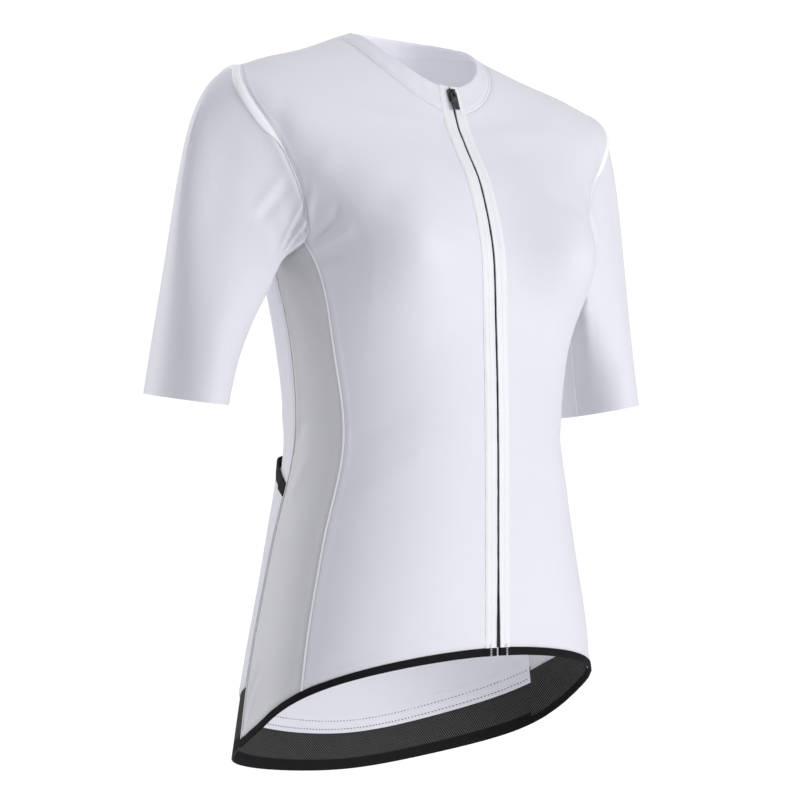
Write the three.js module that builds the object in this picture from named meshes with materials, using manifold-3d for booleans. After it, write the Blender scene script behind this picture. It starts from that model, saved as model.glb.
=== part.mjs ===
// A short-sleeved cycling jersey in knitted cloth, filled out as when it is worn, with no wearer.
// Lengths are millimetres and turns are degrees. +Z is up, the front faces -Y and +X is the
// wearer's left. The origin lies midway between the two neck ends of the shoulder line.
//
// The body is one smooth form, a ring for each level from the hem to the neck seam. Each cloth
// piece is a grid of points on that form, given a wall inwards. A turn of 0 is the centre front,
// 90 the left side and 180 the centre back. The right half of each piece is the left one mirrored.

import * as THREE from 'three';
import Manifold from 'manifold-3d';

// Cloth and trim sizes
const CLOTH = 1.5;             // wall of the knitted cloth
const COLLAR_WALL = 2.2;       // the collar is doubled cloth
const SEAM_GAP = 0.3;          // clear space between pieces that are sewn together
const TAPE_WIDTH = 13;         // from the centre line to the outer edge of a zip tape
const TAPE_WALL = 0.8;
const TAPE_SLIT = 1.2;         // from the centre line to the inner edge of a zip tape
const TAPE_SLIT_HEM = 2.2;     // the slit opens a little just above the hem
const FRONT_EDGE = 6;          // the cut edge of each front, under the tape
const COIL_HALF = 5.2;
const COIL_DEPTH = [-0.5, -1.7]; // outer and inner face, out from the cloth
const BINDING_HEIGHT = 7;
const BINDING_DEPTH = [0.5, -2.0];
const GRIPPER_DEPTH = [0.4, -1.6];
const POCKET_FULLNESS = 9;     // how far a filled-out pocket stands off the back
const POCKET_ELASTIC = 10;     // height of the elastic along the pocket mouth
const SHOULDER_SEAM = 103;     // turn of the shoulder seam, a little behind the ridge

// Levels of the body form, from the hem up. side is half the width, middle the y of the widest
// line, front and back the y of the centre lines, and the three z values the heights at centre
// front, side and centre back. square makes the front of a ring fuller than an ellipse, and
// squareBack the back of it. slope is how steeply the line runs at the side, 1 for a plain curve.
const LEVELS = [
  { at: 'hem', side: 167, middle: 14, front: -90, back: 129, frontZ: -528, sideZ: -585, backZ: -645, square: 0.05, squareBack: 0.115, slope: 1.9 },
  { at: 'above hem', side: 159, middle: 14, front: -90, back: 125, frontZ: -482, sideZ: -520, backZ: -562, square: 0.05, squareBack: 0.08, slope: 1.4 },
  { at: 'hip', side: 145, middle: 14, front: -90, back: 116, frontZ: -425, sideZ: -438, backZ: -455, square: 0.04, squareBack: 0.04, slope: 1 },
  { at: 'waist', side: 130.5, middle: 14, front: -90, back: 106, frontZ: -350, sideZ: -350, backZ: -355, square: 0.03, squareBack: 0.03, slope: 1 },
  { at: 'ribs', side: 137, middle: 16, front: -88, back: 107, frontZ: -275, sideZ: -275, backZ: -275, square: 0.03, squareBack: 0.03, slope: 1 },
  { at: 'bust', side: 149, middle: 18, front: -81, back: 114, frontZ: -208, sideZ: -208, backZ: -208, square: 0.03, squareBack: 0.03, slope: 1 },
  { at: 'underarm', side: 160, middle: 18, front: -74, back: 117, frontZ: -165, sideZ: -160, backZ: -160, square: 0.04, squareBack: 0.04, slope: 1 },
  { at: 'chest', side: 184, middle: 14, front: -64, back: 115, frontZ: -125, sideZ: -104, backZ: -108, square: 0.05, squareBack: 0.05, slope: 1 },
  { at: 'shoulder point', side: 208, middle: 11, front: -49, back: 106, frontZ: -97, sideZ: -50, backZ: -64, square: 0.05, squareBack: 0.05, slope: 1 },
  { at: 'shoulder', side: 172, middle: 14, front: -43, back: 102, frontZ: -86, sideZ: -28, backZ: -44, square: 0.05, squareBack: 0.05, slope: 1 },
  { at: 'near neck', side: 120, middle: 21, front: -37, back: 97, frontZ: -75, sideZ: -12, backZ: -18, square: 0.03, squareBack: 0.03, slope: 1 },
  { at: 'neck seam', side: 73, middle: 28, front: -32, back: 90, frontZ: -61, sideZ: 4, backZ: 13, square: 0.02, squareBack: 0.02, slope: 1 },
];
const NECK = LEVELS.length - 1;
const COLLAR_TOP = { side: 58, middle: 24, front: -24, back: 78, frontZ: -37, sideZ: 9, backZ: 24.5, square: 0.03, squareBack: 0, slope: 1 };

// The bust of a general figure: a soft rise each side of the centre front.
const BUST = { x: 96, z: -184, spreadX: 42, spreadZ: 40, rise: 42 };

// Seams between front and side panel, and between side panel and back, one row for each level.
const SIDE_SEAMS = [
  { front: 67, back: 108.5 },
  { front: 67, back: 108.5 },
  { front: 66.5, back: 105 },
  { front: 63.5, back: 96 },
  { front: 65, back: 91 },
  { front: 69, back: 93 },
  { front: 77, back: 100 },
];

// The left armhole, from the shoulder seam down the front and up the back. The two rows that end
// a side seam take their turn from it.
const FRONT_JUNCTION = 7;
const BACK_JUNCTION = 9;
const ARMHOLE = [
  { level: 8.6, turn: SHOULDER_SEAM },
  { level: 8.5, turn: 86 },
  { level: 8.08, turn: 73 },
  { level: 7.55, turn: 66 },
  { level: 7.1, turn: 64.5 },
  { level: 6.55, turn: 65 },
  { level: 6.02, turn: 68 },
  { level: 5.53, turn: 73 },
  { level: 5.3, turn: 86 },
  { level: 5.42, turn: 96 },
  { level: 5.95, turn: 107 },
  { level: 6.55, turn: 112 },
  { level: 7.1, turn: 114.5 },
  { level: 7.6, turn: 116 },
  { level: 8.08, turn: 115.5 },
  { level: 8.42, turn: 111.5 },
];

// The sleeve ends in an oval cuff.
const CUFF = { x: 230, y: 35, z: -314, halfX: 31, halfY: 45 };
const SLEEVE_SPREAD = 0.17;    // how far the sleeve leans out at the cuff, for each unit down
// How much the cuff's plane rises outwards and backwards. The arms hang a little unalike.
const CUFF_TILT = { left: { outwards: 0.186, backwards: -0.06 }, right: { outwards: 0.076, backwards: 0.115 } };
// How each side of the sleeve leaves the armhole: outward is how much it runs straight on over the
// shoulder, forward and aside turn it, and leave and arrive are how far it goes on, as parts of
// its length, before it bends to the cuff and how near the cuff it straightens.
const SLEEVE_BENDS = [
  { side: 'top', outward: 1, forward: 0.12, aside: 0, leave: 0.25, arrive: 0.4 },
  { side: 'front', outward: 0.35, forward: 0.06, aside: 0.1, leave: 0.3, arrive: 0.34 },
  { side: 'under', outward: 0, forward: 0, aside: 0.45, leave: 0.32, arrive: 0.3 },
  { side: 'back', outward: 0.35, forward: 0.06, aside: 0.1, leave: 0.3, arrive: 0.34 },
];
// Folds where the sleeve bunches under the arm: around counts armhole rows, along is part of
// the sleeve length, and a fold runs around the sleeve.
const UNDERARM_FOLDS = [
  { around: 6.2, along: 0.1, reach: 1.6, length: 0.045, depth: 2.4 },
  { around: 7.0, along: 0.21, reach: 1.9, length: 0.05, depth: 2.8 },
  { around: 9.6, along: 0.13, reach: 1.7, length: 0.05, depth: 2.4 },
];

// How finely each piece is divided
const FRONT_COLUMNS = 12;
const SIDE_COLUMNS = 4;
const BACK_COLUMNS = 18;       // a multiple of six, for three pockets on each column count
const BODY_ROWS = 17;          // from the hem to the foot of the armhole
const GRIPPER_ROWS = 2;
const ARMHOLE_STEPS = 2;       // points between two armhole rows
const SHOULDER_ROWS = 5;
const SLEEVE_ROWS = 12;
const COLLAR_ROWS = 3;

const radians = (degrees) => (degrees * Math.PI) / 180;
const mix = (a, b, part) => a + (b - a) * part;
const clamp = (value, low, high) => Math.min(high, Math.max(low, value));
const smoothStep = (part) => clamp(part, 0, 1) ** 2 * (3 - 2 * clamp(part, 0, 1));

// A smooth curve through a table's column. Rows are one step apart, and the ends run on straight.
function along(rows, column, place, closed = false) {
  const last = rows.length - 1;
  const start = closed ? Math.floor(place) : clamp(Math.floor(place), 0, last - 1);
  const part = place - start;
  const value = (index) => {
    if (closed) return rows[(index + 2 * rows.length) % rows.length][column];
    if (index < 0) return 2 * rows[0][column] - rows[1][column];
    if (index > last) return 2 * rows[last][column] - rows[last - 1][column];
    return rows[index][column];
  };
  const [a, b, c, d] = [value(start - 1), value(start), value(start + 1), value(start + 2)];
  return b + 0.5 * part * (c - a + part * (2 * a - 5 * b + 4 * c - d + part * (3 * (b - c) + d - a)));
}

// A curve from one value to another with the given slopes at its ends, over a unit step.
function ease(from, to, slopeFrom, slopeTo, part) {
  const square = part * part;
  const cube = square * part;
  const rise = 3 * square - 2 * cube;
  return from + (to - from) * rise + slopeFrom * (cube - 2 * square + part) + slopeTo * (cube - square);
}

// A turn as its size away from the centre front, 0 to 180.
const fromFront = (turn) => Math.abs(((((turn + 180) % 360) + 360) % 360) - 180);

// A point of a ring with the given sizes.
function ringPoint(turn, ring) {
  const angle = radians(turn);
  const sideways = Math.sin(angle);
  const forward = Math.cos(angle);
  const squareness = forward > 0 ? ring.square : ring.squareBack;
  const full = 1 + squareness * Math.sin(2 * angle) ** 2;
  const reach = forward > 0 ? ring.middle - ring.front : ring.back - ring.middle;
  const away = fromFront(turn) / 90;
  const slope = (ring.slope * (ring.backZ - ring.frontZ)) / 2;
  const height = away < 1
    ? ease(ring.frontZ, ring.sideZ, 0, slope, away)
    : ease(ring.sideZ, ring.backZ, slope, 0, away - 1);
  return new THREE.Vector3(
    ring.side * sideways * full,
    ring.middle - reach * forward * full,
    height,
  );
}

// How far the bust lifts a point of the form towards the front.
function bustRise(point, turn) {
  const oneSide = (centre) => Math.exp(
    -((point.x - centre) ** 2) / (2 * BUST.spreadX ** 2) - (point.z - BUST.z) ** 2 / (2 * BUST.spreadZ ** 2),
  );
  const facing = clamp(Math.cos(radians(turn)) * 1.6, 0, 1);
  return BUST.rise * facing * (oneSide(BUST.x) + oneSide(-BUST.x));
}

function bodyPoint(turn, level) {
  const ring = {};
  for (const size of Object.keys(COLLAR_TOP)) ring[size] = along(LEVELS, size, level);
  const point = ringPoint(turn, ring);
  point.y -= bustRise(point, turn);
  return point;
}

// The collar rises from the neck seam, height 0, to its top edge, height 1.
function collarPoint(turn, height) {
  return bodyPoint(turn, NECK).lerp(ringPoint(turn, COLLAR_TOP), height);
}

// The outward normal of a surface given by a turn and a second value.
function normalOf(surface, turn, second) {
  const step = 0.01;
  const around = surface(turn + step, second).sub(surface(turn - step, second));
  const up = surface(turn, second + step).sub(surface(turn, second - step));
  return around.cross(up).normalize();
}
const bodyNormal = (turn, level) => normalOf(bodyPoint, turn, level);
const collarNormal = (turn, height) => normalOf(collarPoint, turn, height);

// The turn at which the front surface is a given distance from the centre line.
const turnAt = (x, level) => (Math.asin(x / along(LEVELS, 'side', level)) * 180) / Math.PI;

// A place is a point with its outward normal.
const bodyPlace = (turn, level) => ({ point: bodyPoint(turn, level), normal: bodyNormal(turn, level) });
const collarPlace = (turn, height) => ({ point: collarPoint(turn, height), normal: collarNormal(turn, height) });

// The left armhole curve, place counting its rows. The junction rows lie on the side seams.
const sideSeam = (which, level) => along(SIDE_SEAMS, which, level);
ARMHOLE[FRONT_JUNCTION].turn = sideSeam('front', ARMHOLE[FRONT_JUNCTION].level);
ARMHOLE[BACK_JUNCTION].turn = sideSeam('back', ARMHOLE[BACK_JUNCTION].level);
const armholeAt = (place) => ({
  level: along(ARMHOLE, 'level', place, true),
  turn: along(ARMHOLE, 'turn', place, true),
});

// The sleeve surface: around counts armhole rows, and length runs from the armhole 0 to the cuff 1.
function cuffPoint(around, tilt) {
  const angle = radians((360 * around) / ARMHOLE.length);
  const x = Math.cos(angle) * CUFF.halfX;
  const y = -Math.sin(angle) * CUFF.halfY;
  const z = tilt.outwards * x + tilt.backwards * y;
  return new THREE.Vector3(CUFF.x + x, CUFF.y + y, CUFF.z + z);
}

// Straight on over the body form, square to the armhole's edge. A sleeve line takes the mean of its
// neighbours' directions, because the edge turns tightly over the shoulder.
const ONWARD_WEIGHTS = [
  { away: -2.5, weight: 1 },
  { away: -1.5, weight: 2 },
  { away: -0.75, weight: 3 },
  { away: 0, weight: 3 },
  { away: 0.75, weight: 3 },
  { away: 1.5, weight: 2 },
  { away: 2.5, weight: 1 },
];
function onwardAt(around) {
  const { level, turn } = armholeAt(around);
  const edge = bodyPointOnArmhole(around + 0.01).sub(bodyPointOnArmhole(around - 0.01));
  return edge.cross(bodyNormal(turn, level)).normalize().negate();
}

function sleeveCurve(around, tilt) {
  const { level, turn } = armholeAt(around);
  const start = bodyPoint(turn, level);
  const end = cuffPoint(around, tilt);
  const chord = end.clone().sub(start);
  const length = chord.length();
  const quarter = (4 * around) / ARMHOLE.length;
  const bend = (column) => along(SLEEVE_BENDS, column, quarter, true);
  const onward = new THREE.Vector3();
  for (const { away, weight } of ONWARD_WEIGHTS) onward.addScaledVector(onwardAt(around + away), weight);
  onward.normalize();
  const direction = chord.clone().normalize().lerp(onward, clamp(bend('outward'), 0, 1)).normalize();
  direction.y -= bend('forward');
  direction.x += bend('aside');
  direction.normalize();
  const leave = start.clone().addScaledVector(direction, bend('leave') * length);
  const axis = new THREE.Vector3(SLEEVE_SPREAD, 0, -1).normalize();
  const arrive = end.clone().addScaledVector(axis, -bend('arrive') * length);
  return new THREE.CubicBezierCurve3(start, leave, arrive, end);
}

function bodyPointOnArmhole(around) {
  const { level, turn } = armholeAt(around);
  return bodyPoint(turn, level);
}

function foldDepth(around, length) {
  return UNDERARM_FOLDS.reduce((total, fold) => {
    const across = Math.exp(-((around - fold.around) ** 2) / (2 * fold.reach ** 2));
    const down = Math.exp(-((length - fold.along) ** 2) / (2 * fold.length ** 2));
    return total + fold.depth * across * down;
  }, 0);
}

const plainSleevePoint = (around, length, tilt) => sleeveCurve(around, tilt).getPoint(length);

function sleevePlace(around, length, tilt) {
  const step = 0.01;
  const low = clamp(length, step, 1 - step);
  const turned = plainSleevePoint(around + step, length, tilt).sub(plainSleevePoint(around - step, length, tilt));
  const down = plainSleevePoint(around, low + step, tilt).sub(plainSleevePoint(around, low - step, tilt));
  const normal = turned.cross(down).normalize();
  const point = plainSleevePoint(around, length, tilt).addScaledVector(normal, -foldDepth(around, length));
  return { point, normal };
}

// The normals of two surfaces that meet at a seam, for the planes their walls end on. leaving
// points along the second surface. Where they meet in an outward corner, both walls end on one
// shared plane, so that neither runs into the other.
function seamNormals(first, second, leaving) {
  if (leaving.dot(first) > 0) return [first, second];
  const shared = first.clone().add(second).normalize();
  return [shared, shared];
}

function armholeNormals(around) {
  const { level, turn } = armholeAt(around);
  const tilt = CUFF_TILT.left;
  const leaving = plainSleevePoint(around, 0.02, tilt).sub(plainSleevePoint(around, 0, tilt));
  const [body, sleeve] = seamNormals(bodyNormal(turn, level), sleevePlace(around, 0, tilt).normal, leaving);
  return { body, sleeve };
}

function neckNormals(turn) {
  const leaving = collarPoint(turn, 0.1).sub(collarPoint(turn, 0));
  const [body, collar] = seamNormals(bodyNormal(turn, NECK), collarNormal(turn, 0), leaving);
  return { body, collar };
}

// Moves the edge points of a grid half a seam gap into the piece. edges holds the sides to move:
// first and last column, bottom and top row.
function withSeamGap(grid, edges) {
  const columns = grid.length;
  const rows = grid[0].length;
  const pull = (place, towards) => {
    const direction = towards.point.clone().sub(place.point).normalize();
    return { ...place, point: place.point.clone().addScaledVector(direction, SEAM_GAP / 2) };
  };
  const result = grid.map((column) => column.slice());
  for (let row = 0; row < rows; row += 1) {
    if (edges.includes('first')) result[0][row] = pull(grid[0][row], grid[1][row]);
    if (edges.includes('last')) result[columns - 1][row] = pull(grid[columns - 1][row], grid[columns - 2][row]);
  }
  for (let column = 0; column < columns; column += 1) {
    if (edges.includes('bottom')) result[column][0] = pull(result[column][0], grid[column][1]);
    if (edges.includes('top')) result[column][rows - 1] = pull(result[column][rows - 1], grid[column][rows - 2]);
  }
  return result;
}

const mirrored = (grid) => grid.map((column) => column.map(({ point, normal, ...rest }) => ({
  point: new THREE.Vector3(-point.x, point.y, point.z),
  normal: new THREE.Vector3(-normal.x, normal.y, normal.z),
  ...rest,
})));

// A closed wall from a grid of places. outer and inner are distances out along the normals, and
// a place may carry its own pair. A closed grid joins its last column to its first.
function wallGeometry(grid, outer, inner, closed = false) {
  const columns = grid.length;
  const rows = grid[0].length;
  const positions = [];
  for (const face of [0, 1]) {
    for (const column of grid) {
      for (const place of column) {
        const distance = place.depth ? place.depth[face] : [outer, inner][face];
        positions.push(...place.point.clone().addScaledVector(place.normal, distance).toArray());
      }
    }
  }
  const vertex = (face, column, row) => face * columns * rows + (column % columns) * rows + row;
  const triangles = [];
  const quad = (a, b, c, d) => triangles.push(a, b, c, a, c, d);
  const spans = closed ? columns : columns - 1;
  for (let column = 0; column < spans; column += 1) {
    for (let row = 0; row < rows - 1; row += 1) {
      quad(vertex(0, column, row), vertex(0, column + 1, row), vertex(0, column + 1, row + 1), vertex(0, column, row + 1));
      quad(vertex(1, column, row), vertex(1, column, row + 1), vertex(1, column + 1, row + 1), vertex(1, column + 1, row));
    }
    for (const [row, flip] of [[0, false], [rows - 1, true]]) {
      const corners = [vertex(0, column, row), vertex(1, column, row), vertex(1, column + 1, row), vertex(0, column + 1, row)];
      quad(...(flip ? corners.reverse() : corners));
    }
  }
  if (!closed) {
    for (let row = 0; row < rows - 1; row += 1) {
      for (const [column, flip] of [[0, false], [columns - 1, true]]) {
        const corners = [vertex(0, column, row), vertex(0, column, row + 1), vertex(1, column, row + 1), vertex(1, column, row)];
        quad(...(flip ? corners.reverse() : corners));
      }
    }
  }
  const geometry = new THREE.BufferGeometry();
  geometry.setAttribute('position', new THREE.Float32BufferAttribute(positions, 3));
  geometry.setIndex(triangles);
  if (signedVolume(geometry) < 0) geometry.setIndex(triangles.reverse());
  return geometry;
}

function signedVolume(geometry) {
  const position = geometry.getAttribute('position');
  const index = geometry.getIndex();
  const corner = (place) => new THREE.Vector3().fromBufferAttribute(position, index.getX(place));
  let six = 0;
  for (let place = 0; place < index.count; place += 3) {
    six += corner(place).dot(corner(place + 1).cross(corner(place + 2)));
  }
  return six / 6;
}

// Materials
const material = (color, roughness, metalness = 0) => new THREE.MeshStandardMaterial({ color, roughness, metalness });
const WHITE_KNIT = () => material(0xe6e6ee, 0.55);
const WHITE_TAPE = () => material(0xf3f3f6, 0.6);
const BLACK_ELASTIC = () => material(0x17181a, 0.8);
const BLACK_COIL = () => material(0x111214, 0.45);
const DARK_METAL = () => material(0x3b3c40, 0.35, 0.9);

const jersey = new THREE.Group();
jersey.name = 'cycling_jersey';

function addPiece(name, geometry, look) {
  const mesh = new THREE.Mesh(geometry, look);
  mesh.name = name;
  jersey.add(mesh);
  return mesh;
}

// Adds a left piece and its mirror image.
function addPair(name, grid, outer, inner, look) {
  addPiece(`${name}_left`, wallGeometry(grid, outer, inner), look());
  addPiece(`${name}_right`, wallGeometry(mirrored(grid), outer, inner), look());
}

// The height of the binding at a turn, as part of the first level.
const bindingTop = (turn) => BINDING_HEIGHT / bodyPoint(turn, 0).distanceTo(bodyPoint(turn, 1));

// Rows of the body below the armhole, as parts of the height from the binding to the junction.
const bodyParts = Array.from({ length: BODY_ROWS + 1 }, (_, row) => row / BODY_ROWS);

// The upper edge of the side panel is the foot of the armhole.
function armholeFoot(part) {
  return armholeAt(mix(FRONT_JUNCTION, BACK_JUNCTION, part));
}

// Gives the rows above the side seam's top even steps of level at the centre line.
function withCentreLevels(rows, first, top) {
  const last = rows.length - 1;
  for (let row = first + 1; row <= last; row += 1) {
    rows[row].centre = mix(top, NECK, (row - first) / (last - first));
  }
  return rows;
}

// A front's row ends: the level, and the turn of its outer edge.
function frontRows() {
  const top = ARMHOLE[FRONT_JUNCTION].level;
  const bottom = bindingTop(sideSeam('front', 0));
  const rows = bodyParts.map((part) => {
    const edge = sideSeam('front', mix(bottom, top, part));
    return { part, level: null, top, edge };
  });
  for (let step = 1; step <= FRONT_JUNCTION * ARMHOLE_STEPS; step += 1) {
    const around = FRONT_JUNCTION - step / ARMHOLE_STEPS;
    const { level, turn } = armholeAt(around);
    rows.push({ level, edge: turn, around });
  }
  const shoulder = ARMHOLE[0].level;
  for (let step = 1; step <= SHOULDER_ROWS; step += 1) {
    rows.push({ level: mix(shoulder, NECK, step / SHOULDER_ROWS), edge: SHOULDER_SEAM });
  }
  return withCentreLevels(rows, BODY_ROWS, top);
}

// The level of a front's row at a turn: the low rows fan out from the binding's upper edge, and
// the high ones from even steps at the centre front to the points of the armhole.
function rowLevel(row, turn) {
  if (row.level === null) return mix(bindingTop(turn), row.top, row.part);
  return mix(row.centre, row.level, smoothStep(turn / row.edge));
}

// Distances from the centre line of the first columns, which the zip tape shares.
const TAPE_COLUMNS = [FRONT_EDGE, (FRONT_EDGE + TAPE_WIDTH) / 2, TAPE_WIDTH];

function frontTurn(column, row) {
  const roughLevel = rowLevel(row, 3);
  if (column < TAPE_COLUMNS.length) return turnAt(TAPE_COLUMNS[column], roughLevel);
  const start = turnAt(TAPE_WIDTH, roughLevel);
  const part = (column - TAPE_COLUMNS.length + 1) / (FRONT_COLUMNS - TAPE_COLUMNS.length + 1);
  return mix(start, row.edge, part);
}

function frontGrid() {
  const rows = frontRows();
  const grid = [];
  for (let column = 0; column <= FRONT_COLUMNS; column += 1) {
    grid.push(rows.map((row) => {
      const turn = frontTurn(column, row);
      const place = bodyPlace(turn, rowLevel(row, turn));
      if (column === FRONT_COLUMNS && row.around !== undefined) place.normal = armholeNormals(row.around).body;
      if (row.level === NECK) place.normal = neckNormals(turn).body;
      return place;
    }));
  }
  return grid;
}

function sideGrid() {
  const grid = [];
  for (let column = 0; column <= SIDE_COLUMNS; column += 1) {
    const part = column / SIDE_COLUMNS;
    const foot = armholeFoot(part);
    const top = foot.level;
    grid.push(bodyParts.map((rise) => {
      const seamTurn = (level) => {
        const plain = mix(sideSeam('front', level), sideSeam('back', level), part);
        const atFoot = mix(sideSeam('front', top), sideSeam('back', top), part);
        return plain + (foot.turn - atFoot) * rise ** 6;
      };
      const bottom = bindingTop(seamTurn(0));
      const level = mix(bottom, top, rise);
      return bodyPlace(seamTurn(level), level);
    }));
  }
  return grid;
}

// The back runs between the two side seams. Its low rows lie on the side panel's rows, and the
// gripper takes the first few of them.
function backSeamLevel(row) {
  const bottom = bindingTop(sideSeam('back', 0));
  return mix(bottom, ARMHOLE[BACK_JUNCTION].level, bodyParts[row]);
}
const GRIPPER_CENTRE = 0.58;    // level of the gripper's upper edge at the centre back

function gripperTop(turn) {
  const seam = backSeamLevel(GRIPPER_ROWS);
  const towardsCentre = Math.cos(radians(clamp(turn, 90, 180) - 180)) ** 2;
  const atSeam = Math.cos(radians(sideSeam('back', seam) - 180)) ** 2;
  return mix(seam, GRIPPER_CENTRE, (towardsCentre - atSeam) / (1 - atSeam));
}

// Turn of a back column, from the left side seam through the centre back to the right one.
const backTurn = (column, edge) => mix(edge, 360 - edge, column / BACK_COLUMNS);

// Mirrors a turn past the centre back onto the left half, for the functions that only know that half.
const leftTurn = (turn) => (turn > 180 ? 360 - turn : turn);

function backRows() {
  const rows = [];
  const top = ARMHOLE[BACK_JUNCTION].level;
  for (let row = GRIPPER_ROWS; row <= BODY_ROWS; row += 1) {
    const low = bodyParts[GRIPPER_ROWS];
    rows.push({ level: null, top, part: (bodyParts[row] - low) / (1 - low), edge: sideSeam('back', backSeamLevel(row)) });
  }
  const upEnd = ARMHOLE.length;
  for (let step = 1; step <= (upEnd - BACK_JUNCTION) * ARMHOLE_STEPS; step += 1) {
    const around = BACK_JUNCTION + step / ARMHOLE_STEPS;
    const { level, turn } = armholeAt(around);
    rows.push({ level, edge: turn, around });
  }
  const shoulder = ARMHOLE[0].level;
  for (let step = 1; step <= SHOULDER_ROWS; step += 1) {
    rows.push({ level: mix(shoulder, NECK, step / SHOULDER_ROWS), edge: SHOULDER_SEAM });
  }
  return withCentreLevels(rows, BODY_ROWS - GRIPPER_ROWS, top);
}

function backPlace(column, row) {
  const turn = backTurn(column, row.edge);
  if (row.level === null) return bodyPlace(turn, mix(gripperTop(leftTurn(turn)), row.top, row.part));
  const fromCentre = (180 - leftTurn(turn)) / (180 - row.edge);
  return bodyPlace(turn, mix(row.centre, row.level, smoothStep(fromCentre)));
}

function backGrid() {
  const rows = backRows();
  const grid = [];
  for (let column = 0; column <= BACK_COLUMNS; column += 1) {
    grid.push(rows.map((row) => {
      const place = backPlace(column, row);
      if (row.around !== undefined && (column === 0 || column === BACK_COLUMNS)) {
        const { body } = armholeNormals(row.around);
        const sign = column === 0 ? 1 : -1;
        place.normal = new THREE.Vector3(sign * body.x, body.y, body.z);
      }
      if (row.level === NECK) place.normal = neckNormals(backTurn(column, row.edge)).body;
      return place;
    }));
  }
  return grid;
}

function gripperGrid() {
  const grid = [];
  for (let column = 0; column <= BACK_COLUMNS; column += 1) {
    const places = [];
    for (let row = 0; row <= GRIPPER_ROWS; row += 1) {
      const seamLevel = row === 0 ? 0 : backSeamLevel(row);
      const share = seamLevel / backSeamLevel(GRIPPER_ROWS);
      const turn = backTurn(column, sideSeam('back', seamLevel));
      places.push(bodyPlace(turn, gripperTop(leftTurn(turn)) * share));
    }
    grid.push(places);
  }
  return grid;
}

// The binding follows the fronts and side panels along the hem. Over the tapes it is thicker.
function bindingGrid() {
  const columns = [];
  const frontRow = frontRows()[0];
  columns.push(turnAt(TAPE_SLIT_HEM, 0));
  for (let column = 0; column <= FRONT_COLUMNS; column += 1) columns.push(frontTurn(column, frontRow));
  for (let column = 1; column <= SIDE_COLUMNS; column += 1) {
    columns.push(mix(sideSeam('front', 0), sideSeam('back', 0), column / SIDE_COLUMNS));
  }
  const overTape = TAPE_COLUMNS.length + 1;
  return columns.map((turn, column) => [0, bindingTop(turn)].map((level) => {
    const outer = column < overTape ? BINDING_DEPTH[0] + TAPE_WALL : BINDING_DEPTH[0];
    return { ...bodyPlace(turn, level), depth: [outer, BINDING_DEPTH[1]] };
  }));
}

// Level rows of the centre front from the binding to the neck seam, then up the collar.
function centreStrip(distances) {
  const rows = frontRows();
  return distances.map((distance) => {
    const places = rows.map((row) => {
      const level = rowLevel(row, 3);
      const x = typeof distance === 'function' ? distance(level) : distance;
      const turn = turnAt(x, level);
      return bodyPlace(turn, rowLevel(row, turn));
    });
    const x = typeof distance === 'function' ? distance(NECK) : distance;
    const turn = turnAt(x, NECK);
    const seam = places[places.length - 1];
    seam.normal = seam.normal.clone().add(collarNormal(turn, 0)).normalize();
    for (let row = 1; row <= COLLAR_ROWS; row += 1) places.push(collarPlace(turn, row / COLLAR_ROWS));
    return places;
  });
}

// The slit between the tapes is even, and opens towards the hem.
const slitHalf = (level) => mix(TAPE_SLIT_HEM, TAPE_SLIT, clamp(level / 0.9, 0, 1));

function collarGrid() {
  const frontRow = { level: NECK, centre: NECK, edge: SHOULDER_SEAM };
  const left = [];
  for (let column = 0; column <= FRONT_COLUMNS; column += 1) left.push(frontTurn(column, frontRow));
  const back = [];
  for (let column = 1; column < BACK_COLUMNS; column += 1) back.push(backTurn(column, SHOULDER_SEAM));
  const right = left.map((turn) => 360 - turn).reverse();
  return [...left, ...back, ...right].map((turn) => {
    const places = [];
    for (let row = 0; row <= COLLAR_ROWS; row += 1) places.push(collarPlace(turn, row / COLLAR_ROWS));
    places[0].normal = neckNormals(turn).collar;
    return places;
  });
}

function sleeveGrid(tilt) {
  const grid = [];
  const columns = ARMHOLE.length * ARMHOLE_STEPS;
  for (let column = 0; column < columns; column += 1) {
    const around = column / ARMHOLE_STEPS;
    const places = [];
    for (let row = 0; row <= SLEEVE_ROWS; row += 1) {
      // Rows lie closer together near the armhole, where the folds are
      const length = (row / SLEEVE_ROWS) ** 1.25;
      const place = sleevePlace(around, length, tilt);
      if (row === 0) place.normal = armholeNormals(around).sleeve;
      places.push(place);
    }
    grid.push(places);
  }
  return grid;
}

// The pocket panel lies on the back and is sewn to it at its sides, its foot and between pockets.
// The mouth is lower at the sides.
const POCKET_ROWS = 6;
const MOUTH = { side: 2.62, centre: 2.95 };
const SIDE_POCKET_LEAN = 3;
const POCKET_FOOT_CLEAR = 0.6; // how far the sewn pocket panel stays off the back's wall

function mouthLevel(part) {
  const fromSide = clamp(3 * Math.min(part, 1 - part), 0, 1);
  return mix(MOUTH.side, MOUTH.centre, Math.sin((Math.PI / 2) * fromSide));
}

// How far a pocket stands off the back: part runs across the three pockets, rise from foot to
// mouth. A side pocket lies flat near the side seam and is fullest towards the centre back.
function pocketStand(part, rise) {
  const fromSide = 3 * Math.min(part, 1 - part);
  const sidePocket = Math.sin(Math.PI * clamp(fromSide, 0, 1) ** SIDE_POCKET_LEAN);
  const across = fromSide > 1 ? Math.abs(Math.sin(3 * Math.PI * part)) ** 0.7 : Math.abs(sidePocket);
  return POCKET_FOOT_CLEAR + POCKET_FULLNESS * across * Math.sin((Math.PI / 2) * clamp(rise * 1.15, 0, 1)) ** 0.8;
}

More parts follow.
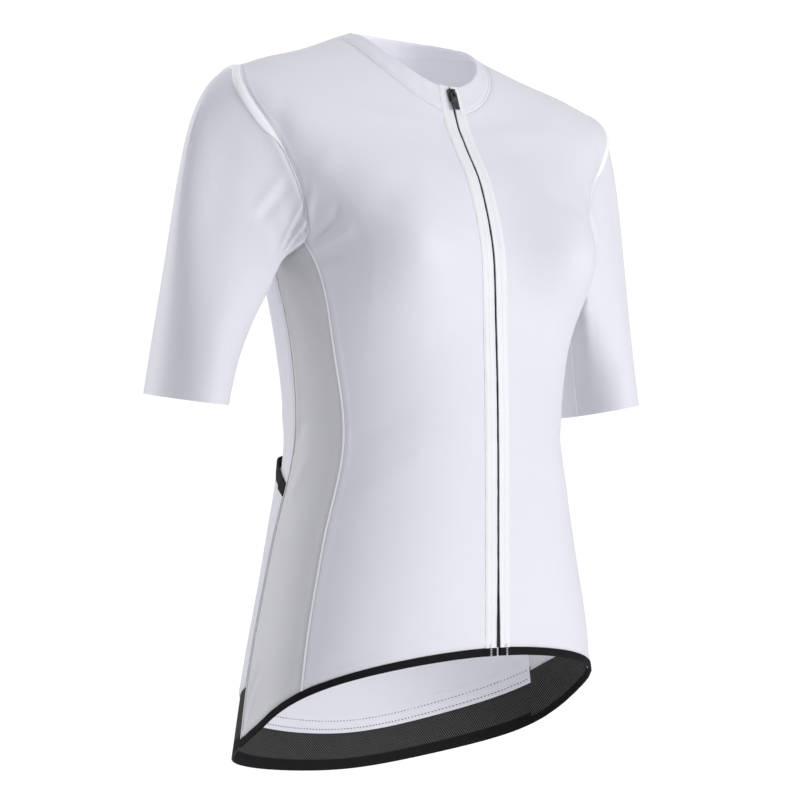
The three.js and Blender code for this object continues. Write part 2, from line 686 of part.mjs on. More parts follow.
function pocketGrid(fromRise, toRise, rows) {
  const grid = [];
  for (let column = 0; column <= BACK_COLUMNS; column += 1) {
    const part = column / BACK_COLUMNS;
    const places = [];
    for (let row = 0; row <= rows; row += 1) {
      const rise = mix(fromRise(part), toRise(part), row / rows);
      const footTurn = backTurn(column, sideSeam('back', backSeamLevel(GRIPPER_ROWS)));
      const foot = gripperTop(leftTurn(footTurn));
      const level = mix(foot, mouthLevel(part), rise);
      const turn = backTurn(column, sideSeam('back', level));
      const stand = pocketStand(part, rise);
      places.push({ ...bodyPlace(turn, level), depth: [stand + CLOTH, stand] });
    }
    grid.push(places);
  }
  return grid;
}

// The elastic takes the top of the pocket panel, as part of its height there.
function elasticStart(part) {
  const turn = backTurn(part * BACK_COLUMNS, sideSeam('back', MOUTH.side));
  const foot = gripperTop(leftTurn(turn));
  const height = bodyPoint(turn, foot).distanceTo(bodyPoint(turn, mouthLevel(part)));
  return 1 - POCKET_ELASTIC / height;
}

// The zip slider and its pull, built flat with x across, y out from the cloth and z up the zip.
const wasm = await Manifold();
wasm.setup();
const { Manifold: Solid } = wasm;
const box = (x, y, z, width, depth, height) => Solid.cube([width, depth, height], true).translate([x, y, z]);
const rod = (y, z, radius, length) => Solid.cylinder(length, radius, radius, 20, true).rotate([0, 90, 0]).translate([0, y, z]);

const SLIDER = { width: 8, height: 11, wall: 1.6, lift: 1.5, bridge: 2.2 };
const PIN = { radius: 0.7, out: 4.5, z: 1.5, clearance: 0.35 };
const PULL = { width: 6.4, length: 17, wall: 1.2, arm: 1.5 };

function sliderSolid() {
  const plate = box(0, SLIDER.lift + SLIDER.wall / 2, 0, SLIDER.width, SLIDER.wall, SLIDER.height);
  const nose = box(0, SLIDER.lift + SLIDER.wall / 2, SLIDER.height / 2, SLIDER.width * 0.6, SLIDER.wall, 2);
  const top = SLIDER.lift + SLIDER.wall;
  const bridgeOut = PIN.out + PIN.radius + PIN.clearance + 0.9 - top;
  const bridge = box(0, top + bridgeOut / 2 - 0.05, PIN.z, SLIDER.bridge, bridgeOut + 0.1, 6);
  const hole = rod(PIN.out, PIN.z, PIN.radius + PIN.clearance, SLIDER.bridge + 1);
  return plate.add(nose).add(bridge).subtract(hole);
}

function pullSolid() {
  const pin = rod(PIN.out, PIN.z, PIN.radius, PULL.width);
  const armX = (PULL.width - PULL.arm) / 2;
  const armLength = 5;
  const arms = [-1, 1].map((side) => box(side * armX, PIN.out, PIN.z - armLength / 2 + 0.6, PULL.arm, PULL.wall, armLength));
  const plateTop = PIN.z - armLength + 1.2;
  const plateLength = PULL.length - armLength;
  const plate = box(0, PIN.out, plateTop - plateLength / 2, PULL.width, PULL.wall, plateLength);
  return pin.add(arms[0]).add(arms[1]).add(plate);
}

function geometryOf(solid) {
  const mesh = solid.getMesh();
  const geometry = new THREE.BufferGeometry();
  const positions = [];
  for (let vertex = 0; vertex < mesh.numVert; vertex += 1) {
    const start = vertex * mesh.numProp;
    positions.push(...mesh.vertProperties.slice(start, start + 3));
  }
  geometry.setAttribute('position', new THREE.Float32BufferAttribute(positions, 3));
  geometry.setIndex([...mesh.triVerts]);
  return geometry;
}

// Places a zip part on the collar's centre front, tilted as the collar is.
const SLIDER_HEIGHT = 0.62;    // part of the collar's height
function placeOnCollar(mesh) {
  const up = collarPoint(0, 1).sub(collarPoint(0, 0)).normalize();
  const out = collarNormal(0, SLIDER_HEIGHT);
  const across = new THREE.Vector3().crossVectors(out, up).normalize();
  mesh.matrix.makeBasis(across, out, up);
  mesh.matrix.setPosition(collarPoint(0, SLIDER_HEIGHT));
  mesh.matrix.decompose(mesh.position, mesh.quaternion, mesh.scale);
}

function buildCloth() {
  addPair('front', withSeamGap(frontGrid(), ['last', 'bottom', 'top']), 0, -CLOTH, WHITE_KNIT);
  addPair('side', withSeamGap(sideGrid(), ['first', 'last', 'bottom', 'top']), 0, -CLOTH, WHITE_KNIT);
  for (const [side, tilt] of Object.entries(CUFF_TILT)) {
    const grid = withSeamGap(sleeveGrid(tilt), ['bottom']);
    const placed = side === 'left' ? grid : mirrored(grid);
    addPiece(`sleeve_${side}`, wallGeometry(placed, 0, -CLOTH, true), WHITE_KNIT());
  }
  addPiece('back', wallGeometry(withSeamGap(backGrid(), ['first', 'last', 'bottom', 'top']), 0, -CLOTH), WHITE_KNIT());
  addPiece('collar', wallGeometry(withSeamGap(collarGrid(), ['bottom']), 0, -COLLAR_WALL), WHITE_KNIT());
}

function buildTrims() {
  const tape = withSeamGap(centreStrip([slitHalf, ...TAPE_COLUMNS]), ['bottom']);
  addPair('zip_tape', tape, SEAM_GAP + TAPE_WALL, SEAM_GAP, WHITE_TAPE);
  const coil = withSeamGap(centreStrip([-COIL_HALF, 0, COIL_HALF]), ['bottom']);
  addPiece('zip_coil', wallGeometry(coil, COIL_DEPTH[0], COIL_DEPTH[1]), BLACK_COIL());
  addPair('hem_binding', withSeamGap(bindingGrid(), ['last', 'top']), 0, 0, BLACK_ELASTIC);
  const gripper = withSeamGap(gripperGrid(), ['first', 'last', 'top']);
  addPiece('hem_gripper', wallGeometry(gripper, GRIPPER_DEPTH[0], GRIPPER_DEPTH[1]), BLACK_ELASTIC());
}

function buildPockets() {
  const panel = withSeamGap(pocketGrid(() => 0, elasticStart, POCKET_ROWS), ['first', 'last', 'bottom', 'top']);
  addPiece('pocket_panel', wallGeometry(panel, 0, 0), WHITE_KNIT());
  const elastic = withSeamGap(pocketGrid(elasticStart, () => 1, 1), ['first', 'last', 'bottom']);
  addPiece('pocket_elastic', wallGeometry(elastic, 0, 0), BLACK_ELASTIC());
}

function buildSlider() {
  placeOnCollar(addPiece('zip_slider', geometryOf(sliderSolid()), DARK_METAL()));
  placeOnCollar(addPiece('zip_pull', geometryOf(pullSolid()), DARK_METAL()));
}

buildCloth();
buildTrims();
buildPockets();
buildSlider();

export default jersey;
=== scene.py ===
# %% [markdown]
# # A cycling jersey, filled out with no wearer
# The real object is a short-sleeved jersey in smooth white knit. It has two fronts, two side
# panels, a back, two set-in sleeves, a stand-up collar, a hidden zip, a bound front hem, a black
# gripper band behind and three rear pockets. The frame gives its plain solids. Here every cloth
# piece is made again as a thin, finely divided shell on the same form, because a crease or a
# rolled seam is only a millimetre or two deep and has to be real geometry to catch the light.

# %% The frame
import math

import bpy
import numpy as np
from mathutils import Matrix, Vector


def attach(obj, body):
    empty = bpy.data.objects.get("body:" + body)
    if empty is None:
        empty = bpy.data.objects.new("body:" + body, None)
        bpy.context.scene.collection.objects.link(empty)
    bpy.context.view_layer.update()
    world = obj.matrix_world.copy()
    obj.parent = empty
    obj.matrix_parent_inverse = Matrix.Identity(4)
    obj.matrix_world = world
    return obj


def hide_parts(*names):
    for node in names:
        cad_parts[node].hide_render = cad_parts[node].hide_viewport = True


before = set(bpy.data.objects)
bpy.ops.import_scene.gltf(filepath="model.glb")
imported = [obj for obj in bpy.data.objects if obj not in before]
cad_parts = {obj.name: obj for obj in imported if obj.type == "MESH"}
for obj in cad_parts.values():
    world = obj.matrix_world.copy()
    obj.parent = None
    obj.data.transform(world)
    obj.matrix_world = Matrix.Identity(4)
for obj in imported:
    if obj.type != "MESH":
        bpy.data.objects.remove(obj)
bpy.context.view_layer.update()
MM = 0.001
BODY = "garment"

# %% [markdown]
# ## The form of the body
# A pattern cutter checks a jersey by its girths, from the hem up to the neck. The form is a stack
# of such girths: half the width, the front and back, and the height of the line at centre front,
# side and centre back. A sculpted mesh could be closer to one photograph, but a form that is
# worked out from girths lets every panel, seam and stitch lie on the same surface.

# %% Girths of the body form, in millimetres, from the hem to the neck seam
GIRTHS = {
    "side": [167, 159, 145, 130.5, 137, 149, 160, 184, 208, 172, 120, 73],
    "middle": [14, 14, 14, 14, 16, 18, 18, 14, 11, 14, 21, 28],
    "front": [-90, -90, -90, -90, -88, -81, -74, -64, -49, -43, -37, -32],
    "back": [129, 125, 116, 106, 107, 114, 117, 115, 106, 102, 97, 90],
    "front_z": [-528, -482, -425, -350, -275, -208, -165, -125, -97, -86, -75, -61],
    "side_z": [-585, -520, -438, -350, -275, -208, -160, -104, -50, -28, -12, 4],
    "back_z": [-645, -562, -455, -355, -275, -208, -160, -108, -64, -44, -18, 13],
    "square": [0.05, 0.05, 0.04, 0.03, 0.03, 0.03, 0.04, 0.05, 0.05, 0.05, 0.03, 0.02],
    "square_back": [0.115, 0.08, 0.04, 0.03, 0.03, 0.03, 0.04, 0.05, 0.05, 0.05, 0.03, 0.02],
    "slope": [1.9, 1.4, 1, 1, 1, 1, 1, 1, 1, 1, 1, 1],
}
NECK = len(GIRTHS["side"]) - 1
COLLAR_TOP = {"side": 58, "middle": 24, "front": -24, "back": 78, "front_z": -37, "side_z": 9,
              "back_z": 24.5, "square": 0.03, "square_back": 0.0, "slope": 1}
BUST = {"x": 96, "z": -184, "spread_x": 42, "spread_z": 40, "rise": 42}


# %% Curves through a list of values
def mix(a, b, part):
    return a + (b - a) * part


def smooth(part):
    part = np.clip(part, 0, 1)
    return part * part * (3 - 2 * part)


def bell(away, reach):
    """A smooth hump: 1 at no distance, and nearly nothing at twice its reach."""
    return np.exp(-(away / reach) ** 2)


def along(values, place, closed=False):
    """A smooth curve through values that are one step apart."""
    values = np.asarray(values, float)
    place = np.asarray(place, float)
    count = len(values)
    if closed:
        start = np.floor(place).astype(int)
        a, b, c, d = [values[(start + shift) % count] for shift in (-1, 0, 1, 2)]
    else:
        start = np.clip(np.floor(place).astype(int), 0, count - 2)
        ends = [[2 * values[0] - values[1]], values, [2 * values[-1] - values[-2]]]
        longer = np.concatenate(ends)
        a, b, c, d = [longer[start + 1 + shift] for shift in (-1, 0, 1, 2)]
    part = place - start
    return b + 0.5 * part * (c - a + part * (2 * a - 5 * b + 4 * c - d + part * (3 * (b - c) + d - a)))


def ease(start, end, slope_start, slope_end, part):
    square, cube = part ** 2, part ** 3
    rise = 3 * square - 2 * cube
    return (start + (end - start) * rise
            + slope_start * (cube - 2 * square + part) + slope_end * (cube - square))


# %% Points of the body and of the collar
def from_front(turn):
    return np.abs((turn + 180) % 360 - 180)


def ring_point(turn, ring):
    """A point of one girth. A turn of 0 is centre front, 90 the wearer's left, 180 the back."""
    angle = np.radians(turn)
    sideways, forward = np.sin(angle), np.cos(angle)
    squareness = np.where(forward > 0, ring["square"], ring["square_back"])
    full = 1 + squareness * np.sin(2 * angle) ** 2
    reach = np.where(forward > 0, ring["middle"] - ring["front"], ring["back"] - ring["middle"])
    away = from_front(turn) / 90
    slope = ring["slope"] * (ring["back_z"] - ring["front_z"]) / 2
    low = ease(ring["front_z"], ring["side_z"], 0, slope, np.minimum(away, 1))
    high = ease(ring["side_z"], ring["back_z"], slope, 0, np.maximum(away - 1, 0))
    height = np.where(away < 1, low, high)
    return np.stack([ring["side"] * sideways * full, ring["middle"] - reach * forward * full, height], -1)


def body_point(turn, level):
    turn, level = np.broadcast_arrays(np.asarray(turn, float), np.asarray(level, float))
    point = ring_point(turn, {name: along(values, level) for name, values in GIRTHS.items()})
    rise = 0
    for side in (-1, 1):
        across = (point[..., 0] - side * BUST["x"]) / BUST["spread_x"]
        down = (point[..., 2] - BUST["z"]) / BUST["spread_z"]
        rise = rise + np.exp(-(across ** 2 + down ** 2) / 2)
    facing = np.clip(np.cos(np.radians(turn)) * 1.6, 0, 1)
    point[..., 1] -= BUST["rise"] * facing * rise
    return point


def collar_point(turn, height):
    turn, height = np.broadcast_arrays(np.asarray(turn, float), np.asarray(height, float))
    foot = body_point(turn, np.full(turn.shape, float(NECK)))
    return mix(foot, ring_point(turn, COLLAR_TOP), height[..., None])


def unit(vectors):
    return vectors / np.maximum(np.linalg.norm(vectors, axis=-1, keepdims=True), 1e-9)


def normal_of(surface, first, second, step=0.01):
    """The outward normal of a surface that two numbers give."""
    around = surface(first + step, second) - surface(first - step, second)
    up = surface(first, second + step) - surface(first, second - step)
    return unit(np.cross(around, up))


def on_body(turn, level):
    """Points of the body and their outward normals."""
    return body_point(turn, level), normal_of(body_point, turn, level)


def run_along(path):
    """How far each point of a path lies from its start."""
    return np.cumsum(np.linalg.norm(np.diff(path, axis=0, prepend=path[:1]), axis=-1))


def domed(share, power):
    """The section of a rounded band, from its edge at 0 to its edge at 1."""
    return np.sqrt(np.clip(1 - (2 * share - 1) ** power, 0.02, 1))


def turn_at(x, level):
    """The turn at which the front is x away from the centre line."""
    return np.degrees(np.arcsin(x / along(GIRTHS["side"], level)))


# %% [markdown]
# ## Seam lines
# The seams divide the form into its cut pieces. Each one is a line of turns, one for each girth,
# and the armhole is a closed line that the sleeve is sewn to. They could be drawn as curves and
# projected on the form, but as numbers on it they meet exactly where the cloth is sewn.

# %% Side seams, armhole and shoulder seam
SIDE_SEAMS = {
    "front": [67, 67, 66.5, 63.5, 65, 69, 77],
    "back": [108.5, 108.5, 105, 96, 91, 93, 100],
}
SHOULDER_SEAM = 103
FRONT_JUNCTION = 7
BACK_JUNCTION = 9
ARMHOLE_LEVELS = [8.6, 8.5, 8.08, 7.55, 7.1, 6.55, 6.02, 5.53, 5.3, 5.42, 5.95, 6.55, 7.1, 7.6, 8.08, 8.42]
ARMHOLE_TURNS = [SHOULDER_SEAM, 86, 73, 66, 64.5, 65, 68, 73, 86, 96, 107, 112, 114.5, 116, 115.5, 111.5]
ARMHOLE_ROWS = len(ARMHOLE_LEVELS)


def side_seam(which, level):
    return along(SIDE_SEAMS[which], level)


ARMHOLE_TURNS[FRONT_JUNCTION] = float(side_seam("front", ARMHOLE_LEVELS[FRONT_JUNCTION]))
ARMHOLE_TURNS[BACK_JUNCTION] = float(side_seam("back", ARMHOLE_LEVELS[BACK_JUNCTION]))


def armhole(place):
    """Level and turn of the left armhole. place counts its rows, from the shoulder seam."""
    return along(ARMHOLE_LEVELS, place, True), along(ARMHOLE_TURNS, place, True)


BINDING_HEIGHT = 7
GRIPPER_CENTRE = 0.58    # level of the gripper's upper edge at centre back
GRIPPER_SHARE = 2 / 17   # of the side seam, which the frame's solids divide into 17 steps


def binding_top(turn):
    """Level of the upper edge of the hem binding."""
    turn = np.asarray(turn, float)
    gap = np.linalg.norm(body_point(turn, turn * 0 + 1) - body_point(turn, turn * 0), axis=-1)
    return BINDING_HEIGHT / gap


def back_seam_level(part):
    bottom = binding_top(side_seam("back", 0))
    return mix(bottom, ARMHOLE_LEVELS[BACK_JUNCTION], part)


def gripper_top(turn):
    """Level of the upper edge of the gripper band, at a turn of the back."""
    seam = back_seam_level(GRIPPER_SHARE)
    towards_centre = np.cos(np.radians(np.clip(turn, 90, 180) - 180)) ** 2
    at_seam = np.cos(np.radians(side_seam("back", seam) - 180)) ** 2
    return mix(seam, GRIPPER_CENTRE, (towards_centre - at_seam) / (1 - at_seam))


def back_turn(part, edge):
    return mix(edge, 360 - edge, part)


def left_turn(turn):
    return np.where(turn > 180, 360 - turn, turn)


# %% [markdown]
# ## The sleeves
# A set-in sleeve is a tube that starts as the armhole and ends as the cuff. Each line down it is
# one smooth bend: it leaves the shoulder in the line of the cloth there, and arrives straight at
# the cuff. The two arms hang a little unalike, so each cuff has its own tilt.

# %% Sleeve form
CUFF = {"x": 230, "y": 35, "z": -314, "half_x": 31, "half_y": 45}
SLEEVE_SPREAD = 0.17
CUFF_TILT = {"left": (0.186, -0.06), "right": (0.076, 0.115)}
SLEEVE_BENDS = {
    "outward": [1, 0.35, 0, 0.35],
    "forward": [0.12, 0.06, 0, 0.06],
    "aside": [0, 0.1, 0.45, 0.1],
    "leave": [0.25, 0.3, 0.32, 0.3],
    "arrive": [0.4, 0.34, 0.3, 0.34],
}
UNDERARM_FOLDS = [
    {"around": 6.2, "along": 0.1, "reach": 1.6, "length": 0.045, "depth": 2.4},
    {"around": 7.0, "along": 0.21, "reach": 1.9, "length": 0.05, "depth": 2.8},
    {"around": 9.6, "along": 0.13, "reach": 1.7, "length": 0.05, "depth": 2.4},
]


def armhole_point(around):
    level, turn = armhole(around)
    return body_point(turn, level)


def onward_at(around):
    """Straight on over the body, square to the armhole's edge."""
    level, turn = armhole(around)
    edge = unit(armhole_point(around + 0.01) - armhole_point(around - 0.01))
    return -unit(np.cross(edge, normal_of(body_point, turn, level)))


ONWARD_REACH = 3.56   # rows of the armhole on either side
ONWARD_SAMPLES = 39


def mean_onward(around):
    """The armhole's edge turns tightly over the shoulder, so each line takes its neighbours' mean."""
    shifts = np.linspace(-ONWARD_REACH, ONWARD_REACH, ONWARD_SAMPLES + 2)[1:-1]
    weights = 0.5 + 0.5 * np.cos(np.pi * shifts / ONWARD_REACH)
    near = onward_at(np.asarray(around)[..., None] + shifts)
    return unit((near * weights[:, None]).sum(-2))


def plain_sleeve_point(around, length, side):
    around, length = np.asarray(around, float), np.asarray(length, float)
    level, turn = armhole(around)
    start = body_point(turn, level)
    angle = 2 * np.pi * around / ARMHOLE_ROWS
    x, y = np.cos(angle) * CUFF["half_x"], -np.sin(angle) * CUFF["half_y"]
    outwards, backwards = CUFF_TILT[side]
    end = np.stack([CUFF["x"] + x, CUFF["y"] + y, CUFF["z"] + outwards * x + backwards * y], -1)
    chord = end - start
    size = np.linalg.norm(chord, axis=-1)[..., None]
    bend = {name: along(values, 4 * around / ARMHOLE_ROWS, True) for name, values in SLEEVE_BENDS.items()}
    direction = unit(mix(unit(chord), mean_onward(around), np.clip(bend["outward"], 0, 1)[..., None]))
    direction[..., 1] -= bend["forward"]
    direction[..., 0] += bend["aside"]
    leave = start + unit(direction) * bend["leave"][..., None] * size
    axis = unit(np.array([SLEEVE_SPREAD, 0, -1.0]))
    arrive = end - axis * bend["arrive"][..., None] * size
    t = length[..., None]
    return (1 - t) ** 3 * start + 3 * (1 - t) ** 2 * t * leave + 3 * (1 - t) * t ** 2 * arrive + t ** 3 * end


def sleeve_places(around, length, side):
    """Points and outward normals of the left half's sleeve, with the folds under the arm."""
    step = 0.01
    low = np.clip(length, step, 1 - step)
    turned = plain_sleeve_point(around + step, length, side) - plain_sleeve_point(around - step, length, side)
    down = plain_sleeve_point(around, low + step, side) - plain_sleeve_point(around, low - step, side)
    normals = unit(np.cross(turned, down))
    depth = 0
    for fold in UNDERARM_FOLDS:
        across = (around - fold["around"]) / fold["reach"]
        way = (length - fold["along"]) / fold["length"]
        depth = depth + fold["depth"] * np.exp(-(across ** 2 + way ** 2) / 2)
    points = plain_sleeve_point(around, length, side) - normals * np.asarray(depth)[..., None]
    return points, normals


# %% [markdown]
# ## Creases and rolled seams
# Worn knit shows soft troughs and ridges that start where the cloth is held. A cloth simulation
# would find its own, but not these ones, so each is placed one by one: a short path on the form,
# a width and a lift. Near a seam the cloth dips into the stitches, swells just beside them and
# puckers unevenly, which is what makes a seam read as sewn.

# %% Lifting the cloth along a path
def path_lift(points, path, width, lift):
    """How far a crease along a path of points lifts each point. It fades towards both ends."""
    best = np.full(points.shape[:-1], 1e9)
    place = np.zeros(points.shape[:-1])
    spans = len(path) - 1
    for index in range(spans):
        a, b = path[index], path[index + 1]
        run = b - a
        part = np.clip(((points - a) @ run) / (run @ run), 0, 1)
        away = np.linalg.norm(points - a - part[..., None] * run, axis=-1)
        closer = away < best
        best = np.where(closer, away, best)
        place = np.where(closer, (index + part) / spans, place)
    fade = smooth(place / 0.3) * smooth((1 - place) / 0.3)
    return lift * fade * bell(best, width)


def lift_along(points, creases, surface, samples=9):
    """The total lift of a list of creases, each from one place on a surface to another."""
    total = np.zeros(points.shape[:-1])
    low, high = points.reshape(-1, 3).min(0), points.reshape(-1, 3).max(0)
    for start, end, bow, width, lift in creases:
        part = np.linspace(0, 1, samples)
        bend = bow * np.sin(np.pi * part)
        first = mix(start[0], end[0], part) + bend
        second = mix(start[1], end[1], part)
        path = surface(first, second)
        near = (path > low - 3 * width) & (path < high + 3 * width)
        if near.all(axis=1).any():
            total += path_lift(points, path, width, lift)
    return total


UNEVEN_WAVES = [(1, 3.1, 1), (0.7, 5.3, 2.1), (0.5, 1.9, 3.7)]   # height, length, share of the seed
SEAM_DIP = {"depth": 0.45, "reach": 1.3}
SEAM_SWELL = {"height": 0.4, "away": 4.6, "reach": 2.4}
SEAM_PUCKER = {"height": 0.22, "reach": 8, "clear": 1.2}


def uneven(run, seed):
    """A smooth uneven wave along a seam, 1 at most, the same on every run."""
    waves = sum(height * np.sin(run / length + share * seed) for height, length, share in UNEVEN_WAVES)
    return waves / 2.2


def rolled(away, dip, swell):
    """The dip of cloth into its stitches and the swell beside them, by the distance from the seam."""
    down = -dip["depth"] * bell(away, dip["reach"])
    return down + swell["height"] * bell(away - swell["away"], swell["reach"])


def edge_line(points, edge):
    return {"first": points[:1], "last": points[-1:], "bottom": points[:, :1], "top": points[:, -1:]}[edge]


def edge_fade(points, edges, reach=4.0):
    """A factor that takes creases down to nothing at a sewn edge, so both sides of a seam meet."""
    factor = 1
    for edge in edges:
        factor = factor * smooth(np.linalg.norm(points - edge_line(points, edge), axis=-1) / reach)
    return factor


def seam_relief(points, edges, seed=1.0, strength=1.0):
    """The dip, swell and puckers of the cloth beside the edges that are sewn."""
    total = np.zeros(points.shape[:-1])
    for number, edge in enumerate(edges):
        line = edge_line(points, edge)
        away = np.linalg.norm(points - line, axis=-1)
        run = run_along(line.reshape(-1, 3))
        run = run[None, :] if edge in ("first", "last") else run[:, None]
        pucker = SEAM_PUCKER["height"] * uneven(run, seed + number) * np.exp(-away / SEAM_PUCKER["reach"])
        pucker = pucker * (1 - np.exp(-away / SEAM_PUCKER["clear"]))
        total += strength * (rolled(away, SEAM_DIP, SEAM_SWELL) + pucker)
    return total


# %% [markdown]
# ## From a grid of points to a cloth shell
# Cloth has two faces and an edge. Blender's Solidify could thicken a sheet, but it knows nothing
# of the seams, so both faces are made from the same grid: the outer one on the form, the inner
# one a wall's thickness below. The UV map holds real lengths, so a knit or a twill is the same
# size on every piece.

# %% Meshes
def link(name, mesh, material, body=BODY, sharp=50):
    piece = bpy.data.objects.new(name, mesh)
    bpy.context.scene.collection.objects.link(piece)
    mesh.materials.append(material)
    mesh.shade_smooth()
    mesh.set_sharp_from_angle(angle=math.radians(sharp))
    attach(piece, body)
    return piece


def signed_volume(vertices, faces):
    first, second, third = vertices[faces[:, 0]], vertices[faces[:, 1]], vertices[faces[:, 2]]
    fourth = vertices[faces[:, 3]]
    one = np.einsum("ij,ij->i", first, np.cross(second, third)).sum()
    two = np.einsum("ij,ij->i", first, np.cross(third, fourth)).sum()
    return one + two


def mesh_from(name, vertices, faces, uvs=None):
    """A mesh from points in millimetres and four-sided faces, turned to face out."""
    if signed_volume(vertices, faces) < 0:
        faces = faces[:, ::-1]
    mesh = bpy.data.meshes.new(name)
    mesh.from_pydata((vertices * MM).tolist(), [], faces.tolist())
    if uvs is not None:
        layer = mesh.uv_layers.new(name="cloth")
        corners = np.empty(len(mesh.loops), int)
        mesh.loops.foreach_get("vertex_index", corners)
        layer.data.foreach_set("uv", (uvs[corners] * MM).ravel())
    mesh.validate()
    return mesh


def grid_uvs(points):
    """Real lengths across and along a grid."""
    across = np.linalg.norm(np.diff(points, axis=0), axis=-1).mean(1)
    up = np.linalg.norm(np.diff(points, axis=1), axis=-1).mean(0)
    u = np.concatenate([[0], np.cumsum(across)])
    v = np.concatenate([[0], np.cumsum(up)])
    return np.stack(np.meshgrid(u, v, indexing="ij"), -1)


def quads(table):
    """The four-sided faces of a table of vertex numbers."""
    return np.stack([table[:-1, :-1], table[1:, :-1], table[1:, 1:], table[:-1, 1:]], -1).reshape(-1, 4)


def wall_mesh(name, outer, inner, closed=False):
    """A closed wall between two grids of points, each [column, row]."""
    columns, rows = outer.shape[:2]
    index = np.arange(columns * rows).reshape(columns, rows)
    around = np.concatenate([index, index[:1]]) if closed else index
    front = quads(around)
    behind = front[:, ::-1] + columns * rows
    parts = [front, behind]

    def rim(line, flip):
        far = line + columns * rows
        strip = np.stack([line[:-1], far[:-1], far[1:], line[1:]], -1)
        return strip[:, ::-1] if flip else strip

    parts += [rim(around[:, 0], False), rim(around[:, -1], True)]
    if not closed:
        parts += [rim(index[0], True), rim(index[-1], False)]
    vertices = np.concatenate([outer.reshape(-1, 3), inner.reshape(-1, 3)])
    uvs = grid_uvs(outer).reshape(-1, 2)
    return mesh_from(name, vertices, np.concatenate(parts), np.concatenate([uvs, uvs]))


def mirror(points):
    return points * np.array([-1.0, 1.0, 1.0])


def for_side(side, *grids):
    """The grids as they are for the left side, and mirrored for the right."""
    return [mirror(grid) if side == "right" else grid for grid in grids]


def cloth(name, points, normals, wall, material, slot, closed=False, node=None):
    """Makes a cloth shell, and lets it stand for its solid."""
    piece = link(name, wall_mesh(name, points, points - normals * wall, closed), material)
    if node:
        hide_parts(node)
    return piece


def spread(count, start=True, end=True, power=1.7):
    """Numbers from 0 to 1 that lie closer together at the ends that are sewn."""
    even = np.linspace(0, 1, count)
    if start and end:
        half = np.abs(2 * even - 1)
        return 0.5 + 0.5 * np.sign(even - 0.5) * (1 - (1 - half) ** power)
    if end:
        return 1 - (1 - even) ** power
    return even ** power


# %% [markdown]
# ## Materials
# The cloth is a fine warp knit: smooth, with a soft satin sheen and loops well under a millimetre.
# A little sheen on a plain shader gives the look, and two crossed waves in the UV map the loops
# as bump. A little light goes into the thin cloth and out on either face, and that keeps the
# shadows in its folds pale. A photograph of knit would tile and could not be measured, so
# everything is procedural. The cloths, threads and metal also vary a little in tone or gloss.

# %% A small kit for materials
def connect(tree, value, socket):
    """Sets a socket to a value, or links another node's output to it."""
    if isinstance(value, bpy.types.NodeSocket):
        tree.links.new(value, socket)
    else:
        socket.default_value = value


def fill(tree, node, inputs):
    for name, value in inputs.items():
        connect(tree, value, node.inputs[name])
    return node


def new_node(tree, kind, **inputs):
    return fill(tree, tree.nodes.new(f"ShaderNode{kind}"), inputs)


def new_material(name, colour, roughness, metallic=0.0, sheen=0.0, specular=0.5):
    material = bpy.data.materials.new(name)
    material.use_nodes = True
    shader = material.node_tree.nodes["Principled BSDF"]
    fill(material.node_tree, shader, {
        "Base Color": (*colour, 1),
        "Roughness": roughness,
        "Metallic": metallic,
        "Specular IOR Level": specular,
        "Sheen Weight": sheen,
        "Sheen Roughness": 0.45,
    })
    return material, material.node_tree, shader


def uv_scaled(tree, across, along_size, turn=0.0):
    """The UV map, in which one unit is a thread's pitch across and along."""
    uv = new_node(tree, "UVMap")
    uv.uv_map = "cloth"
    scale = (1 / across, 1 / along_size, 1)
    mapping = new_node(tree, "Mapping", Vector=uv.outputs["UV"], Scale=scale, Rotation=(0, 0, turn))
    return mapping.outputs["Vector"]


def thread_wave(tree, vector, direction, distortion=0.0):
    """Rounded threads, one for each unit of the vector."""
    wave = new_node(tree, "TexWave", Vector=vector, Scale=0.314159, Distortion=distortion, Detail=1)
    wave.wave_type = "BANDS"
    wave.bands_direction = direction
    wave.wave_profile = "SIN"
    return wave.outputs["Fac"]


def combine(tree, operation, first, second):
    node = new_node(tree, "Math")
    node.operation = operation
    connect(tree, first, node.inputs[0])
    connect(tree, second, node.inputs[1])
    return node.outputs[0]


def bump(tree, shader, height, strength, distance):
    node = new_node(tree, "Bump", Strength=strength, Distance=distance, Height=height)
    fill(tree, shader, {"Normal": node.outputs["Normal"]})


def object_noise(tree, scale, detail=2.0):
    place = new_node(tree, "TexCoord").outputs["Object"]
    return new_node(tree, "TexNoise", Vector=place, Scale=scale, Detail=detail).outputs["Fac"]


def vary_colour(tree, shader, dark, light, factor, low=0.3, high=0.7):
    ramp = new_node(tree, "ValToRGB", Fac=factor)
    ramp.color_ramp.elements[0].color = (*dark, 1)
    ramp.color_ramp.elements[1].color = (*light, 1)
    ramp.color_ramp.elements[0].position = low
    ramp.color_ramp.elements[1].position = high
    fill(tree, shader, {"Base Color": ramp.outputs["Color"]})


def vary_roughness(tree, shader, low, high, factor):
    node = fill(tree, tree.nodes.new("ShaderNodeMapRange"), {"Value": factor, "To Min": low, "To Max": high})
    fill(tree, shader, {"Roughness": node.outputs["Result"]})


# %% White knit, thread and tape
KNIT_GLOW = 0.12      # the share of light that goes into the thin cloth and out on either face


